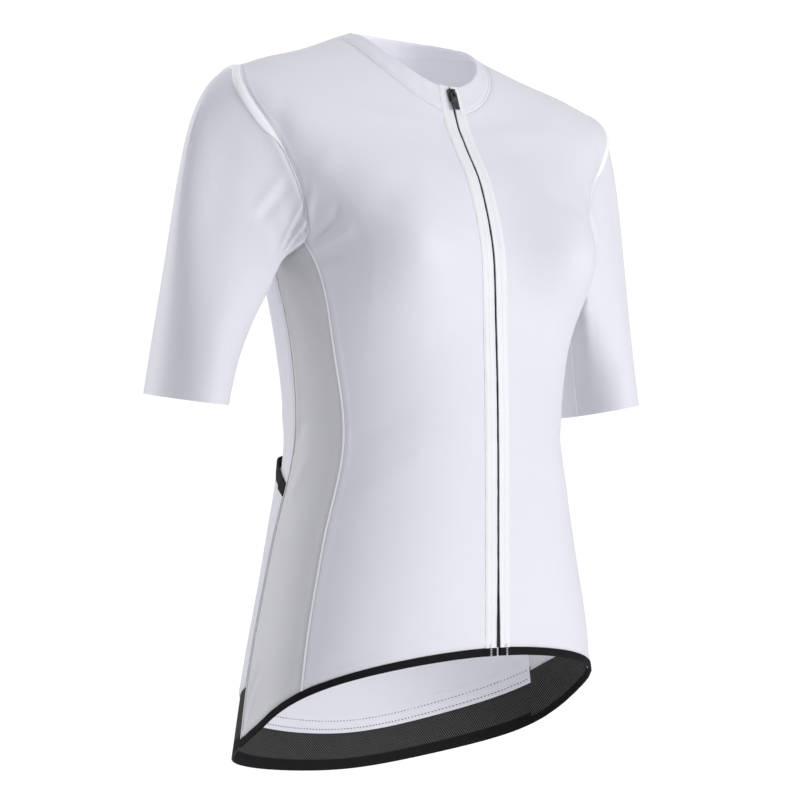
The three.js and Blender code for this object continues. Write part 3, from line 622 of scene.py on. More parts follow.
def white_knit(name, light, dark, wale=0.0009, course=0.0007, depth=0.00012):
    material, tree, shader = new_material(name, light, 0.5, sheen=0.25, specular=0.35)
    fill(tree, shader, {
        "Subsurface Weight": KNIT_GLOW,
        "Subsurface Radius": (1, 1, 1),
        "Subsurface Scale": 0.0015,
    })
    vector = uv_scaled(tree, wale, course)
    loops = combine(tree, "MULTIPLY", thread_wave(tree, vector, "X"), thread_wave(tree, vector, "Y"))
    bump(tree, shader, loops, 0.35, depth)
    cloudy = object_noise(tree, 9)
    vary_colour(tree, shader, dark, light, cloudy)
    vary_roughness(tree, shader, 0.44, 0.56, cloudy)
    return material


FACE_KNIT = white_knit("face_knit", (0.70, 0.70, 0.745), (0.68, 0.68, 0.728))
# The side panels' knit is coarser, and its tone is set darker than the face knit's: painted shade for the
# sides that turn away from the light.
SHADED_SIDE_KNIT = white_knit("side_knit_painted_shade", (0.59, 0.585, 0.60), (0.57, 0.565, 0.58), wale=0.0012, course=0.001)
COLLAR_KNIT = white_knit("collar_knit", (0.71, 0.715, 0.76), (0.69, 0.695, 0.74), wale=0.0008)
FOLD_KNIT = white_knit("fold_knit", (0.88, 0.88, 0.90), (0.86, 0.86, 0.88))


def seam_thread():
    """White flatlock thread: a ladder of stitches across the seam."""
    material, tree, shader = new_material("seam_thread", (0.84, 0.84, 0.86), 0.45, sheen=0.2)
    vector = uv_scaled(tree, 0.0011, 0.0011)
    bump(tree, shader, thread_wave(tree, vector, "Y", 0.6), 0.6, 0.0002)
    vary_colour(tree, shader, (0.80, 0.80, 0.82), (0.87, 0.87, 0.89), thread_wave(tree, vector, "Y", 0.6))
    return material


def woven_tape():
    material, tree, shader = new_material("woven_tape", (0.76, 0.76, 0.78), 0.5, sheen=0.15)
    vector = uv_scaled(tree, 0.0007, 0.0007, math.radians(45))
    bump(tree, shader, thread_wave(tree, vector, "X"), 0.4, 0.0001)
    vary_colour(tree, shader, (0.74, 0.74, 0.765), (0.775, 0.775, 0.795), object_noise(tree, 30))
    return material


SEAM_THREAD = seam_thread()
WOVEN_TAPE = woven_tape()


# %% Black elastic, gripper, coil and metal
def black_elastic(name, light, dark, rib, cross, slant=0.0, depth=0.0002, low=0.3, high=0.7):
    """Ribbed or twilled black elastic. The threads run at a slant to the band's length."""
    material, tree, shader = new_material(name, light, 0.75, sheen=0.0, specular=0.08)
    vector = uv_scaled(tree, cross, rib, slant)
    threads = combine(tree, "ADD", thread_wave(tree, vector, "Y"),
                      combine(tree, "MULTIPLY", thread_wave(tree, vector, "X"), 0.35))
    bump(tree, shader, threads, 0.7, depth)
    vary_colour(tree, shader, dark, light, threads, low, high)
    vary_roughness(tree, shader, 0.65, 0.85, object_noise(tree, 60))
    return material


BINDING_ELASTIC = black_elastic("binding_elastic", (0.012, 0.012, 0.013), (0.005, 0.005, 0.006),
                                rib=0.0012, cross=0.0008)
GRIPPER_TWILL = black_elastic("gripper_twill", (0.11, 0.11, 0.105), (0.002, 0.002, 0.003),
                              rib=0.0022, cross=0.0014,
                              slant=math.radians(45), depth=0.0003, low=0.75, high=1.0)
POCKET_ELASTIC = black_elastic("mouth_elastic", (0.022, 0.022, 0.024), (0.008, 0.008, 0.009),
                               rib=0.0016, cross=0.0008)
DARK_THREAD = black_elastic("dark_thread", (0.03, 0.03, 0.033), (0.015, 0.015, 0.017),
                            rib=0.0005, cross=0.0005)


def coil_plastic():
    material, tree, shader = new_material("coil_plastic", (0.012, 0.012, 0.014), 0.4)
    vary_roughness(tree, shader, 0.32, 0.5, object_noise(tree, 300))
    bump(tree, shader, object_noise(tree, 900), 0.2, 0.0001)
    return material


def dark_enamel():
    """Dark grey enamel on zinc, a little uneven in tone and gloss."""
    material, tree, shader = new_material("dark_enamel", (0.06, 0.06, 0.065), 0.35, metallic=0.85)
    cloudy = object_noise(tree, 350, 4)
    vary_colour(tree, shader, (0.045, 0.045, 0.05), (0.12, 0.12, 0.125), cloudy)
    vary_roughness(tree, shader, 0.28, 0.48, cloudy)
    bump(tree, shader, object_noise(tree, 1500), 0.15, 0.00005)
    return material


COIL_PLASTIC = coil_plastic()
DARK_ENAMEL = dark_enamel()
print("materials:", len(bpy.data.materials))

# %% [markdown]
# ## Where the creases lie
# Each row is one crease: where it starts and ends on the form, how far its middle bows aside, its
# width and its lift in millimetres, less than nothing for a trough. On the body a place is a turn
# and a level, on a sleeve it is rows around the armhole and a part of the sleeve's length.
# The sharpest ones start at the underarm, where the sleeve pulls the side panel and the front.

# %% Creases
BODY_CREASES = [
    ((69, 5.75), (61, 6.9), 2, 3.0, -2.2),
    ((71, 5.6), (57, 6.55), 2, 3.2, 2.2),
    ((71.5, 5.45), (54, 6.2), -2, 3.4, -2.4),
    ((73, 5.35), (53, 5.75), -2, 4.0, 2.0),
    ((74, 5.2), (56, 5.2), 2, 4.5, -1.8),
    ((80, 5.15), (64, 4.3), 2, 6.0, 1.2),
    ((62, 7.0), (48, 8.2), 3, 8.0, -1.5),
    ((60, 6.6), (44, 7.2), -2, 7.0, 1.2),
    ((20, 6.9), (46, 5.9), 4, 14.0, -1.6),
    ((14, 9.8), (40, 8.6), 3, 9.0, 0.8),
    ((30, 3.4), (62, 2.9), 3, 10.0, -1.0),
    ((26, 3.0), (60, 2.4), -3, 11.0, 0.9),
    ((12, 1.2), (40, 0.7), 4, 10.0, 0.7),
    ((34, 0.5), (60, 0.25), 2, 7.0, -0.7),
    ((8, 4.4), (30, 4.1), 2, 12.0, -0.8),
    ((84, 3.3), (98, 2.8), 2, 6.0, -0.9),
    ((82, 2.9), (97, 2.4), -1, 6.0, 0.8),
    ((96, 0.9), (107, 0.35), 1, 4.0, -1.2),
    ((99, 0.7), (107, 0.2), -1, 3.5, 1.0),
    ((102, 0.5), (108, 0.15), 1, 3.0, -0.8),
    ((100, 5.6), (128, 6.2), 4, 6.0, -1.6),
    ((104, 6.2), (134, 7.1), -3, 7.0, 1.3),
    ((98, 5.2), (126, 5.0), 3, 7.0, -1.2),
    ((118, 8.2), (142, 9.2), 2, 10.0, -0.9),
    ((112, 3.9), (150, 3.4), 4, 9.0, -1.2),
    ((110, 3.4), (148, 3.1), -4, 9.0, 1.0),
    ((160, 4.6), (178, 4.3), 3, 12.0, -0.8),
    ((150, 10.4), (172, 10.7), 3, 7.0, -0.8),
]
SLEEVE_CREASES = [
    ((6.20, 0.34), (5.45, -0.06), 0.05, 2.8, 2.0),
    ((6.28, 0.32), (5.80, -0.06), 0.04, 2.5, -3.0),
    ((6.36, 0.31), (6.15, -0.06), 0.03, 2.4, 2.4),
    ((6.45, 0.30), (6.50, -0.06), 0.0, 2.4, -3.0),
    ((6.58, 0.31), (6.85, -0.06), 0.0, 2.6, 2.2),
    ((6.80, 0.34), (7.30, -0.04), 0.0, 3.0, -2.0),
    ((4.95, 0.0), (4.4, 0.32), 0.1, 5.0, -1.3),
    ((4.6, 0.02), (4.1, 0.30), 0.1, 5.0, 0.9),
    ((9.4, 0.03), (11.4, 0.16), 0.4, 5.0, -1.5),
    ((9.0, 0.12), (11.8, 0.28), -0.4, 6.0, 1.3),
    ((9.2, 0.26), (12.0, 0.42), 0.3, 7.0, -1.0),
    ((0.6, 0.02), (1.0, 0.4), 0.2, 9.0, 0.8),
    ((14.6, 0.05), (14.2, 0.45), -0.2, 10.0, -0.9),
    ((2.4, 0.1), (2.8, 0.55), 0.2, 12.0, -0.7),
    ((3.2, 0.72), (5.6, 0.82), 0.4, 8.0, -0.6),
    ((11.0, 0.68), (13.4, 0.8), 0.4, 9.0, -0.7),
]
MIRRORED_CREASES = [((360 - a[0], a[1]), (360 - b[0], b[1]), -bow, width, lift)
                    for a, b, bow, width, lift in BODY_CREASES]


def body_relief(points):
    """Creases of the left half, and of the back across the centre line."""
    total = lift_along(points, BODY_CREASES, body_point)
    if (points[..., 0] < 0).any():
        total += lift_along(points, MIRRORED_CREASES, body_point)
    return total


def raised(points, normals, lift):
    return points + normals * lift[..., None]


# %% [markdown]
# ## The fronts and side panels
# Each front runs from the zip to the side seam, the armhole and the shoulder seam. Its grid has a
# row for each step of those edges, and the rows fan out to even steps at the centre line. That
# keeps the cloth's grain running down the body, as a cutter would lay it. The right half is the
# left one mirrored, with puckers of its own along the seams.

# %% Rows between the hem and the neck
FRONT_EDGE = 6        # from the centre line, under the zip tape
ARMHOLE_SLICES = 6
SHOULDER_SLICES = 15


def panel_rows(junction, step_down, low_rows, edge_name, first_part=0.0):
    """Rows of a front or back: the part of the low rows, and level and turn at the outer edge."""
    top = ARMHOLE_LEVELS[junction]
    bottom = binding_top(side_seam(edge_name, 0))
    parts = np.linspace(first_part, 1, low_rows)
    low_edge = side_seam(edge_name, mix(bottom, top, parts))
    count = junction if step_down else ARMHOLE_ROWS - junction
    steps = np.arange(1, count * ARMHOLE_SLICES + 1) / ARMHOLE_SLICES
    arm_level, arm_turn = armhole(junction - steps if step_down else junction + steps)
    shoulder = np.arange(1, SHOULDER_SLICES + 1) / SHOULDER_SLICES
    high_level = np.concatenate([arm_level, mix(ARMHOLE_LEVELS[0], NECK, shoulder)])
    high_edge = np.concatenate([arm_turn, np.full(SHOULDER_SLICES, float(SHOULDER_SEAM))])
    centre = mix(top, NECK, np.arange(1, len(high_level) + 1) / len(high_level))
    share = (parts - first_part) / (1 - first_part)
    return {"share": share, "low_edge": low_edge, "top": top,
            "level": high_level, "edge": high_edge, "centre": centre}


def front_level(rows, turn):
    """Levels of all rows at the given turns, [column, row]."""
    low = mix(binding_top(turn[:, :len(rows["share"])]), rows["top"], rows["share"])
    high_turn = turn[:, len(rows["share"]):]
    high = mix(rows["centre"], rows["level"], smooth(high_turn / rows["edge"]))
    return np.concatenate([low, high], 1)


def front_places(parts, low_rows=110):
    rows = panel_rows(FRONT_JUNCTION, True, low_rows, "front")
    edge = np.concatenate([rows["low_edge"], rows["edge"]])
    rough = front_level(rows, np.full((1, len(edge)), 3.0))[0]
    turn = mix(turn_at(FRONT_EDGE, rough)[None, :], edge[None, :], parts[:, None])
    level = front_level(rows, turn)
    return turn, level


SEAM_GAP = 0.3
CLOTH_WALL = 1.1
ALL_EDGES = ["first", "last", "bottom", "top"]


def trimmed(points, edges):
    """Moves sewn edges half a seam gap into the piece."""
    points = points.copy()
    pairs = {"first": (0, 1, 0), "last": (-1, -2, 0), "bottom": (0, 1, 1), "top": (-1, -2, 1)}
    for edge in edges:
        here, there, axis = pairs[edge]
        at = (here, slice(None)) if axis == 0 else (slice(None), here)
        towards = (there, slice(None)) if axis == 0 else (slice(None), there)
        points[at] += unit(points[towards] - points[at]) * SEAM_GAP / 2
    return points


def panel(name, side, points, normals, sewn, material, node, seed, relief=0):
    """A cut piece with its creases, sewn at the edges that are named. A right one is mirrored."""
    lift = seam_relief(points, sewn, seed) + edge_fade(points, sewn) * body_relief(points) + relief
    shaped, normals = for_side(side, raised(trimmed(points, sewn), normals, lift), normals)
    cloth(name, shaped, normals, CLOTH_WALL, material, "white_knit", node=node)


# %% Two fronts
front_points, front_normals = on_body(*front_places(spread(84, start=False, end=True)))
for side, seed in (("left", 1.0), ("right", 2.6)):
    panel(f"{side}_front", side, front_points, front_normals, ["last", "bottom", "top"], FACE_KNIT,
          f"front_{side}", seed)


# %% Two side panels
def side_places(parts, low_rows=100):
    """The side panel ends in the foot of the armhole."""
    rise = np.linspace(0, 1, low_rows)
    foot_level, foot_turn = armhole(mix(FRONT_JUNCTION, BACK_JUNCTION, parts))
    foot_level, foot_turn = foot_level[:, None], foot_turn[:, None]

    def seam_turn(level):
        plain = mix(side_seam("front", level), side_seam("back", level), parts[:, None])
        at_foot = mix(side_seam("front", foot_level), side_seam("back", foot_level), parts[:, None])
        return plain + (foot_turn - at_foot) * rise[None, :] ** 6

    bottom = binding_top(seam_turn(np.zeros((len(parts), low_rows)))[:, :1])
    level = mix(bottom, foot_level, rise[None, :])
    return seam_turn(level), level


side_points, side_normals = on_body(*side_places(spread(34)))
# The side panels wear the darker knit, whose tone is painted shade.
for side, seed in (("left", 3.3), ("right", 4.1)):
    panel(f"{side}_side_panel", side, side_points, side_normals, ALL_EDGES, SHADED_SIDE_KNIT, f"side_{side}", seed)

# %% [markdown]
# ## The back and the gripper band
# The back is one piece across the centre. Below it the gripper band is a wide black elastic with
# a diagonal twill on its inner face. The knit laps over the top of the band inside, where two
# rows of coverstitch hold it, so a white lap is made as a thin piece of its own.


# %% The back
def back_places(parts, low_rows=95):
    first_part = GRIPPER_SHARE
    rows = panel_rows(BACK_JUNCTION, False, low_rows, "back", first_part)
    edge = np.concatenate([rows["low_edge"], rows["edge"]])
    turn = back_turn(parts[:, None], edge[None, :])
    half = left_turn(turn)
    count = len(rows["share"])
    low = mix(gripper_top(half[:, :count]), rows["top"], rows["share"])
    from_centre = (180 - half[:, count:]) / (180 - rows["edge"])
    high = mix(rows["centre"], rows["level"], smooth(from_centre))
    return turn, np.concatenate([low, high], 1)


BACK_GATHER = {"depth": 0.45, "reach": 11, "clear": 3}   # where the gripper draws the knit in
back_points, back_normals = on_body(*back_places(spread(110)))
above_seam = np.linalg.norm(back_points - back_points[:, :1], axis=-1)
gathers = -BACK_GATHER["depth"] * (1 + uneven(run_along(back_points[:, 0]) * 2, 2.7))[:, None]
gathers = gathers * np.exp(-above_seam / BACK_GATHER["reach"]) * smooth(above_seam / BACK_GATHER["clear"])
panel("back_panel", "middle", back_points, back_normals, ALL_EDGES, FACE_KNIT, "back", 5.2, gathers)


# %% The gripper band and the lap of knit inside it
def gripper_places(parts, shares):
    seam_level = shares * back_seam_level(GRIPPER_SHARE)
    turn = back_turn(parts[:, None], side_seam("back", seam_level)[None, :])
    level = gripper_top(left_turn(turn)) * shares[None, :]
    return turn, level


GRIPPER_OUT = 0.4
GRIPPER_WALL = 1.6
SMOOTH_BORDER = 0.2   # the share of the band's height, at its foot, that has no twill
grip_turns, grip_levels = gripper_places(spread(140), np.linspace(0, 1, 30))
grip_points, grip_normals = on_body(grip_turns, grip_levels)
grip_wave = 0.35 * uneven(grip_turns * 2.3, 1.7) * smooth(grip_levels / 0.3)
grip_shaped = raised(trimmed(grip_points, ["first", "last", "top"]), grip_normals, GRIPPER_OUT + grip_wave)
gripper = cloth("gripper_band", grip_shaped, grip_normals, GRIPPER_WALL, GRIPPER_TWILL, "black_elastic",
                node="hem_gripper")
gripper.data.materials.append(BINDING_ELASTIC)
strips = grip_shaped.shape[1] - 1
both_faces = 2 * strips * (grip_shaped.shape[0] - 1)
for face in gripper.data.polygons[:both_faces]:
    face.material_index = int(face.index % strips < SMOOTH_BORDER * strips)

LAP_SHARES = (0.72, 1.12)    # of the band's height, where the lap starts and ends
LAP_BLEND = 0.6              # of the lap's own height, from where it runs into the back's knit
LAP_INSIDE = (1.75, 0.9)     # how far in it lies over the band, and where it meets the knit
LAP_WALL = (0.8, 0.25)
LAP_PUCKER = 0.25
lap_places = gripper_places(np.linspace(0.002, 0.998, 170), np.linspace(*LAP_SHARES, 16))
lap_points, lap_normals = on_body(*lap_places)
lap_rise = np.linspace(0, 1, lap_points.shape[1])[None, :]
lap_blend = smooth((lap_rise - LAP_BLEND) / (1 - LAP_BLEND))
lap_pucker = LAP_PUCKER * (1 + uneven(run_along(lap_points[:, 8]), 4.4))[:, None] * smooth(lap_rise / 0.5)
lap_lift = mix(-LAP_INSIDE[0] - lap_pucker, -LAP_INSIDE[1], lap_blend) + body_relief(lap_points) * lap_blend
lap_inner = lap_lift - mix(*LAP_WALL, lap_blend)
lap = link("back_lap", wall_mesh("back_lap", raised(lap_points, lap_normals, lap_lift),
                                 raised(lap_points, lap_normals, lap_inner)), FACE_KNIT)

# %% [markdown]
# The gripper's elastic runs on inside both side panels, behind the hem binding, and ends just past
# the front seam. A piece of its own on the panel's inner face is simpler than a longer band.

# %% The gripper's ends inside the side panels
RETURN_HEIGHT = {"back": 50, "front": 40}
RETURN_INSIDE = 1.75
RETURN_WALL = 0.5
return_parts = np.linspace(-0.04, 1.06, 64)
return_turns = mix(side_seam("back", 0), side_seam("front", 0), return_parts)[:, None]
return_gap = np.linalg.norm(body_point(return_turns, 1) - body_point(return_turns, 0), axis=-1)
return_top = mix(RETURN_HEIGHT["back"], RETURN_HEIGHT["front"], smooth(return_parts))[:, None] / return_gap
return_foot = (BINDING_HEIGHT - 0.2) / return_gap
return_levels = mix(return_foot, return_top, np.linspace(0, 1, 24)[None, :])
return_points, return_normals = on_body(return_turns + 0 * return_levels, return_levels)
return_shaped = raised(return_points, return_normals, body_relief(return_points) - RETURN_INSIDE)
for side in ("left", "right"):
    cloth(f"gripper_return_{side}", *for_side(side, return_shaped, return_normals), RETURN_WALL,
          GRIPPER_TWILL, "black_elastic")

# %% [markdown]
# ## The sleeves
# Each sleeve's rows follow the armhole around and its bends down to the cuff. The head of the
# sleeve swells over the shoulder seam, because the seam's spare cloth is pressed into the sleeve.
# The cuff is a clean raw-cut edge with no band, as in the photo.

# %% Two sleeves
SLEEVE_COLUMNS = 288
SLEEVE_HEAD_SWELL = 0.9


def sleeve_head(around, points):
    """The swell beside the armhole seam, widest at the shoulder and gone at the underarm."""
    away = np.linalg.norm(points - points[:, :1], axis=-1)
    top = 0.5 + 0.5 * np.cos(2 * np.pi * around / ARMHOLE_ROWS)
    return SLEEVE_HEAD_SWELL * top ** 0.8 * bell(away - 5.5, 4.5)


for side in ("left", "right"):
    around = np.arange(SLEEVE_COLUMNS)[:, None] * ARMHOLE_ROWS / SLEEVE_COLUMNS
    length = spread(84, start=True, end=False, power=1.35)[None, :]
    points, normals = sleeve_places(around, length, side)
    relief = lift_along(points, SLEEVE_CREASES, lambda a, b: sleeve_places(a, b, side)[0])
    relief = relief * edge_fade(points, ["bottom"], 2.5)
    relief = relief + seam_relief(points, ["bottom"], 6.0, 0.8) + sleeve_head(around, points)
    shaped, normals = for_side(side, raised(trimmed(points, ["bottom"]), normals, relief), normals)
    cloth(f"{side}_sleeve", shaped, normals, CLOTH_WALL, FACE_KNIT, "white_knit", closed=True,
          node=f"sleeve_{side}")

# %% [markdown]
# The seam's spare cloth is turned into the sleeve and pressed, so a flat raised band follows the
# armhole over the shoulder. It looks whiter than the single cloth, because less light goes
# through it. It could be a bump of the sleeve's mesh, but its crisp edge needs a piece of its own.

# %% The turned allowance over each shoulder
FOLD_ENDS = (-3.6, 4.1)       # rows of the armhole, from the shoulder seam
FOLD_FADES = (1.6, 1.1)       # rows over which it widens behind, and narrows in front
FOLD_START = 0.6              # from the seam
FOLD_TIP = 0.5                # its width at either end
FOLD_WIDTH = 7.5
FOLD_HEIGHT = 0.85
FOLD_OVER_SLEEVE = 0.25
FOLD_UNDERSIDE = 0.05
FOLD_STEP = 0.02              # a short part of the sleeve's length, to turn millimetres into length
around = np.linspace(*FOLD_ENDS, 110)[:, None]
across = np.linspace(0, 1, 12)[None, :]
ends = smooth((around - FOLD_ENDS[0]) / FOLD_FADES[0]) * smooth((FOLD_ENDS[1] - around) / FOLD_FADES[1])
fold_out = FOLD_START + (FOLD_TIP + FOLD_WIDTH * ends) * across
for side in ("left", "right"):
    seam = sleeve_places(around, np.array([[0.0]]), side)[0]
    near = sleeve_places(around, np.array([[FOLD_STEP]]), side)[0]
    per_mm = FOLD_STEP / np.linalg.norm(near - seam, axis=-1)
    points, normals = sleeve_places(around, per_mm * fold_out, side)
    base = sleeve_head(around, np.concatenate([seam, points], 1))[:, 1:]
    outer = raised(points, normals, base + FOLD_OVER_SLEEVE + FOLD_HEIGHT * domed(across, 4))
    outer, inner = for_side(side, outer, raised(points, normals, base + FOLD_UNDERSIDE))
    name = f"shoulder_fold_{side}"
    link(name, wall_mesh(name, outer, inner), FOLD_KNIT)

# %% [markdown]
# ## The collar
# The collar is one strip of doubled knit, folded at its top edge. Doubled cloth is thicker and
# rounder than one layer, so its section is drawn as a rounded wall: the top row pulls in to a
# fold, and its lower edge is stitched down by a double row.

# %% The collar
COLLAR_WALL = 2.2
COLLAR_FOLD = 0.9     # of its height, from where it rounds over to the fold
neck_start = float(turn_at(FRONT_EDGE, NECK))
collar_turns = np.concatenate([np.linspace(neck_start, 60, 50), np.linspace(62, 298, 110),
                               np.linspace(300, 360 - neck_start, 50)])
collar_heights = np.concatenate([np.linspace(0, 0.9, 16), [0.94, 0.97, 0.99, 1.0]])
collar_turns, collar_heights = np.meshgrid(collar_turns, collar_heights, indexing="ij")
collar_points = collar_point(collar_turns, collar_heights)
collar_normals = normal_of(collar_point, collar_turns, collar_heights)
past_fold = ((collar_heights - COLLAR_FOLD) / (1 - COLLAR_FOLD)).clip(0, 1)
fold = np.sqrt(np.clip(1 - past_fold ** 2, 0.04, 1))
collar_ripple = 0.25 * uneven(collar_turns * 1.2, 2.2) * smooth(collar_heights / 0.5)
collar_lift = seam_relief(collar_points, ["bottom"], 7.0) + collar_ripple - (1 - fold) * COLLAR_WALL / 2
collar_outer = raised(trimmed(collar_points, ["bottom"]), collar_normals, collar_lift)
cloth("stand_collar", collar_outer, collar_normals, (COLLAR_WALL * fold)[..., None], COLLAR_KNIT,
      "white_knit", node="collar")

# %% [markdown]
# ## The zip
# The zip is set in behind two white tapes whose folded edges almost meet, so it shows as a thin
# black line. Each tape has a rolled edge at the slit and a stitched groove down its middle. Under
# the slit lies the coil: a black strip with a row of small interlocked teeth. On the real zip
# each one is a bent loop of plastic, and here a small block, because little of it shows. An array
# modifier along a curve could repeat the tooth, but plain rows of points keep each one square to
# the cloth.


# %% Places down the centre front
def front_line(x, rows):
    """Points and normals from the hem binding up to the collar's top, x from the centre line.
    rows counts the steps below the neck seam, and the collar adds a tenth as many."""
    x = np.asarray(x, float)
    level = np.linspace(binding_top(2.0), NECK, rows)
    turn = turn_at(x[:, None], level[None, :])
    level = np.broadcast_to(level[None, :], turn.shape)
    points, normals = body_point(turn, level), normal_of(body_point, turn, level)
    heights = np.linspace(0, 1, rows // 10 + 2)[1:]
    neck = turn[:, -1:] + 0 * heights[None, :]
    heights = np.broadcast_to(heights[None, :], neck.shape)
    more, more_normals = collar_point(neck, heights), normal_of(collar_point, neck, heights)
    return np.concatenate([points, more], 1), unit(np.concatenate([normals, more_normals], 1))


SLIT = {"zip": 1.2, "hem": 2.2}   # half its width
TAPE_WIDTH = 13
TAPE_STITCH = 7.2
TAPE_WAVE = 0.16
TAPE_UNDERSIDE = 0.12


def tape_profile(x):
    """Height of a tape's outer face over the front, by the distance from the centre line."""
    edge_roll = 0.4 * bell(x - 2.0, 0.9)
    groove = -0.2 * bell(x - TAPE_STITCH, 0.6)
    thin = 0.55 * smooth((TAPE_WIDTH - x) / 2.4)
    return 0.3 + thin + edge_roll + groove


tape_x = np.concatenate([np.linspace(0, 1.6, 5) + SLIT["zip"], np.linspace(3.4, TAPE_WIDTH, 26)])
for side, seed in (("left", 1.3), ("right", 3.9)):
    points, normals = front_line(tape_x, 260)
    share = np.linspace(0, 1, points.shape[1])[None, :]
    open_end = (SLIT["hem"] - SLIT["zip"]) * (1 - smooth(share / 0.12))
    points = points + np.array([1.0, 0, 0]) * (open_end * smooth((4 - tape_x) / 3)[:, None])[..., None]
    wave = TAPE_WAVE * uneven(run_along(points[4]), seed)[None, :]
    lift = tape_profile(tape_x)[:, None] + wave
    underside = raised(points, normals, 0 * lift + TAPE_UNDERSIDE)
    outer, inner = for_side(side, raised(points, normals, lift), underside)
    name = f"zip_fold_{side}"
    tape = link(name, wall_mesh(name, outer, inner), WOVEN_TAPE)
    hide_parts(f"zip_tape_{side}")

# %% The coil: a dark strip and its teeth
STRIP_HALF = 5.2
STRIP_DEPTHS = (1.0, 1.7)   # its two faces, under the front's outer face
points, normals = front_line(np.linspace(-STRIP_HALF, STRIP_HALF, 7), 120)
faces = [raised(points, normals, np.full(points.shape[:2], -depth)) for depth in STRIP_DEPTHS]
strip = link("coil_strip", wall_mesh("coil_strip", *faces), COIL_PLASTIC)
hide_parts("zip_coil")
TOOTH_PITCH = 1.5
TOOTH_LEAN = 0.9      # every other tooth lies to the left of the line
TOOTH_DEPTH = 0.6
TOOTH = {"half_width": 1.9, "half_height": 0.5, "rise": 0.95}


def block_mesh(name, centres, across, out, up, half, taper=0.6):
    """Many small blocks with a narrower outer face, one for each row of the tables."""
    corners = []
    for depth, size in ((-1, 1.0), (1, taper)):
        for a, b in ((-1, -1), (1, -1), (1, 1), (-1, 1)):
            corner = centres + across * (a * half[0] * size) + up * (b * half[2] * size)
            corners.append(corner + out * (depth * half[1]))
    vertices = np.stack(corners, 1).reshape(-1, 3)
    one = np.array([[0, 1, 2, 3], [7, 6, 5, 4], [0, 4, 5, 1], [1, 5, 6, 2], [2, 6, 7, 3], [3, 7, 4, 0]])
    faces = (one[None] + 8 * np.arange(len(centres))[:, None, None]).reshape(-1, 4)
    return mesh_from(name, vertices, faces)


def even_places(path, normals, pitch):
    """Places one pitch apart along a path, with the direction of travel and the normal."""
    run = run_along(path)
    at = np.arange(pitch / 2, run[-1], pitch)

    def sample(values, where):
        return np.stack([np.interp(where, run, values[:, axis]) for axis in range(3)], -1)

    ahead = unit(sample(path, at + 0.4) - sample(path, at - 0.4))
    return sample(path, at), ahead, unit(sample(normals, at))


line, line_normals = front_line([0.0], 400)
centres, upward, outward = even_places(line[0], line_normals[0], TOOTH_PITCH)
across = unit(np.cross(upward, outward))
lean = np.where(np.arange(len(centres)) % 2 == 0, TOOTH_LEAN, -TOOTH_LEAN)[:, None]
half = (TOOTH["half_width"], TOOTH["rise"] / 2, TOOTH["half_height"])
middles = centres + across * lean - outward * TOOTH_DEPTH
link("coil_teeth", block_mesh("coil_teeth", middles, across, outward, upward, half), COIL_PLASTIC,
     sharp=30)
print("coil teeth:", len(centres))

# %% [markdown]
# ## The slider and its pull
# The frame's slider and pull have the right sizes but square edges, and die-cast zinc has none. A
# Bevel modifier on a copy of each rounds them to about a third of a millimetre, which is what
# catches the light.


# %% Rounded copies of the metal pieces
def rounded_copy(node, name, body, width):
    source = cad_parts[node]
    piece = link(name, source.data.copy(), DARK_ENAMEL, body=body, sharp=60)
    piece.data.materials.clear()
    piece.data.materials.append(DARK_ENAMEL)
    bevel = piece.modifiers.new("round", "BEVEL")
    bevel.width = width * MM
    bevel.segments = 3
    bevel.limit_method = "ANGLE"
    bevel.angle_limit = math.radians(40)
    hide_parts(node)


rounded_copy("zip_slider", "slider_body", BODY, 0.35)
rounded_copy("zip_pull", "slider_pull", "pull", 0.25)

# %% [markdown]
# ## Hem bindings and pockets
# The front hem is bound in a narrow elastic with fine ribs along it. The pocket panel lies on the
# back and is open at the top, where a flat elastic pulls it in. It is stitched down at its foot,
# its sides and between the three pockets, and stands off the back a little in the middle of each.


# %% Two hem bindings
def binding_places(columns, rows):
    turns = np.concatenate([[float(turn_at(SLIT["hem"], 0))], np.linspace(3, side_seam("back", 0), columns)])
    share = np.linspace(0, 1, rows)
    level = binding_top(turns)[:, None] * share[None, :]
    return np.broadcast_to(turns[:, None], level.shape), level, share


RIBS = 3
BINDING_INSIDE = 1.3
binding_turns, binding_levels, binding_share = binding_places(150, 25)
binding_points, binding_normals = on_body(binding_turns, binding_levels)
rib_wave = 0.22 * np.abs(np.sin(np.pi * RIBS * binding_share))[None, :]
rounded = 0.7 * domed(binding_share, 6)[None, :]
over_tape = 0.8 * (1 - smooth((binding_turns - 4.2) / 1.2))
binding_wave = 0.25 * uneven(binding_turns * 2.6, 2.9)
inner_face = raised(binding_points, binding_normals, -BINDING_INSIDE - rounded + 0 * binding_turns)
for side, wave_share in (("left", 1.0), ("right", -0.8)):
    lift = rib_wave + rounded - 0.1 + over_tape + binding_wave * wave_share
    outer = raised(trimmed(binding_points, ["last", "top"]), binding_normals, lift)
    name = f"front_hem_binding_{side}"
    mesh = wall_mesh(name, *for_side(side, outer, inner_face))
    band = link(name, mesh, BINDING_ELASTIC)
    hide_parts(f"hem_binding_{side}")

# %% The pocket panel and the elastic at its mouth
MOUTH = {"side": 2.62, "centre": 2.95}
POCKET_FULLNESS = 9
POCKET_FOOT_CLEAR = 0.6
POCKET_ELASTIC_HEIGHT = 10.5
POCKET_WALL = 1.2


def mouth_level(part):
    from_side = np.clip(3 * np.minimum(part, 1 - part), 0, 1)
    return mix(MOUTH["side"], MOUTH["centre"], np.sin(np.pi / 2 * from_side))


def pocket_stand(part, rise):
    """How far the panel stands off the back."""
    from_side = 3 * np.minimum(part, 1 - part)
    side_pocket = np.abs(np.sin(np.pi * np.clip(from_side, 0, 1) ** 3))
    middle = np.abs(np.sin(3 * np.pi * part)) ** 0.7
    across = np.where(from_side > 1, middle, side_pocket)
    upward = np.sin(np.pi / 2 * np.clip(rise * 1.15, 0, 1)) ** 0.8
    return POCKET_FOOT_CLEAR + POCKET_FULLNESS * across * upward


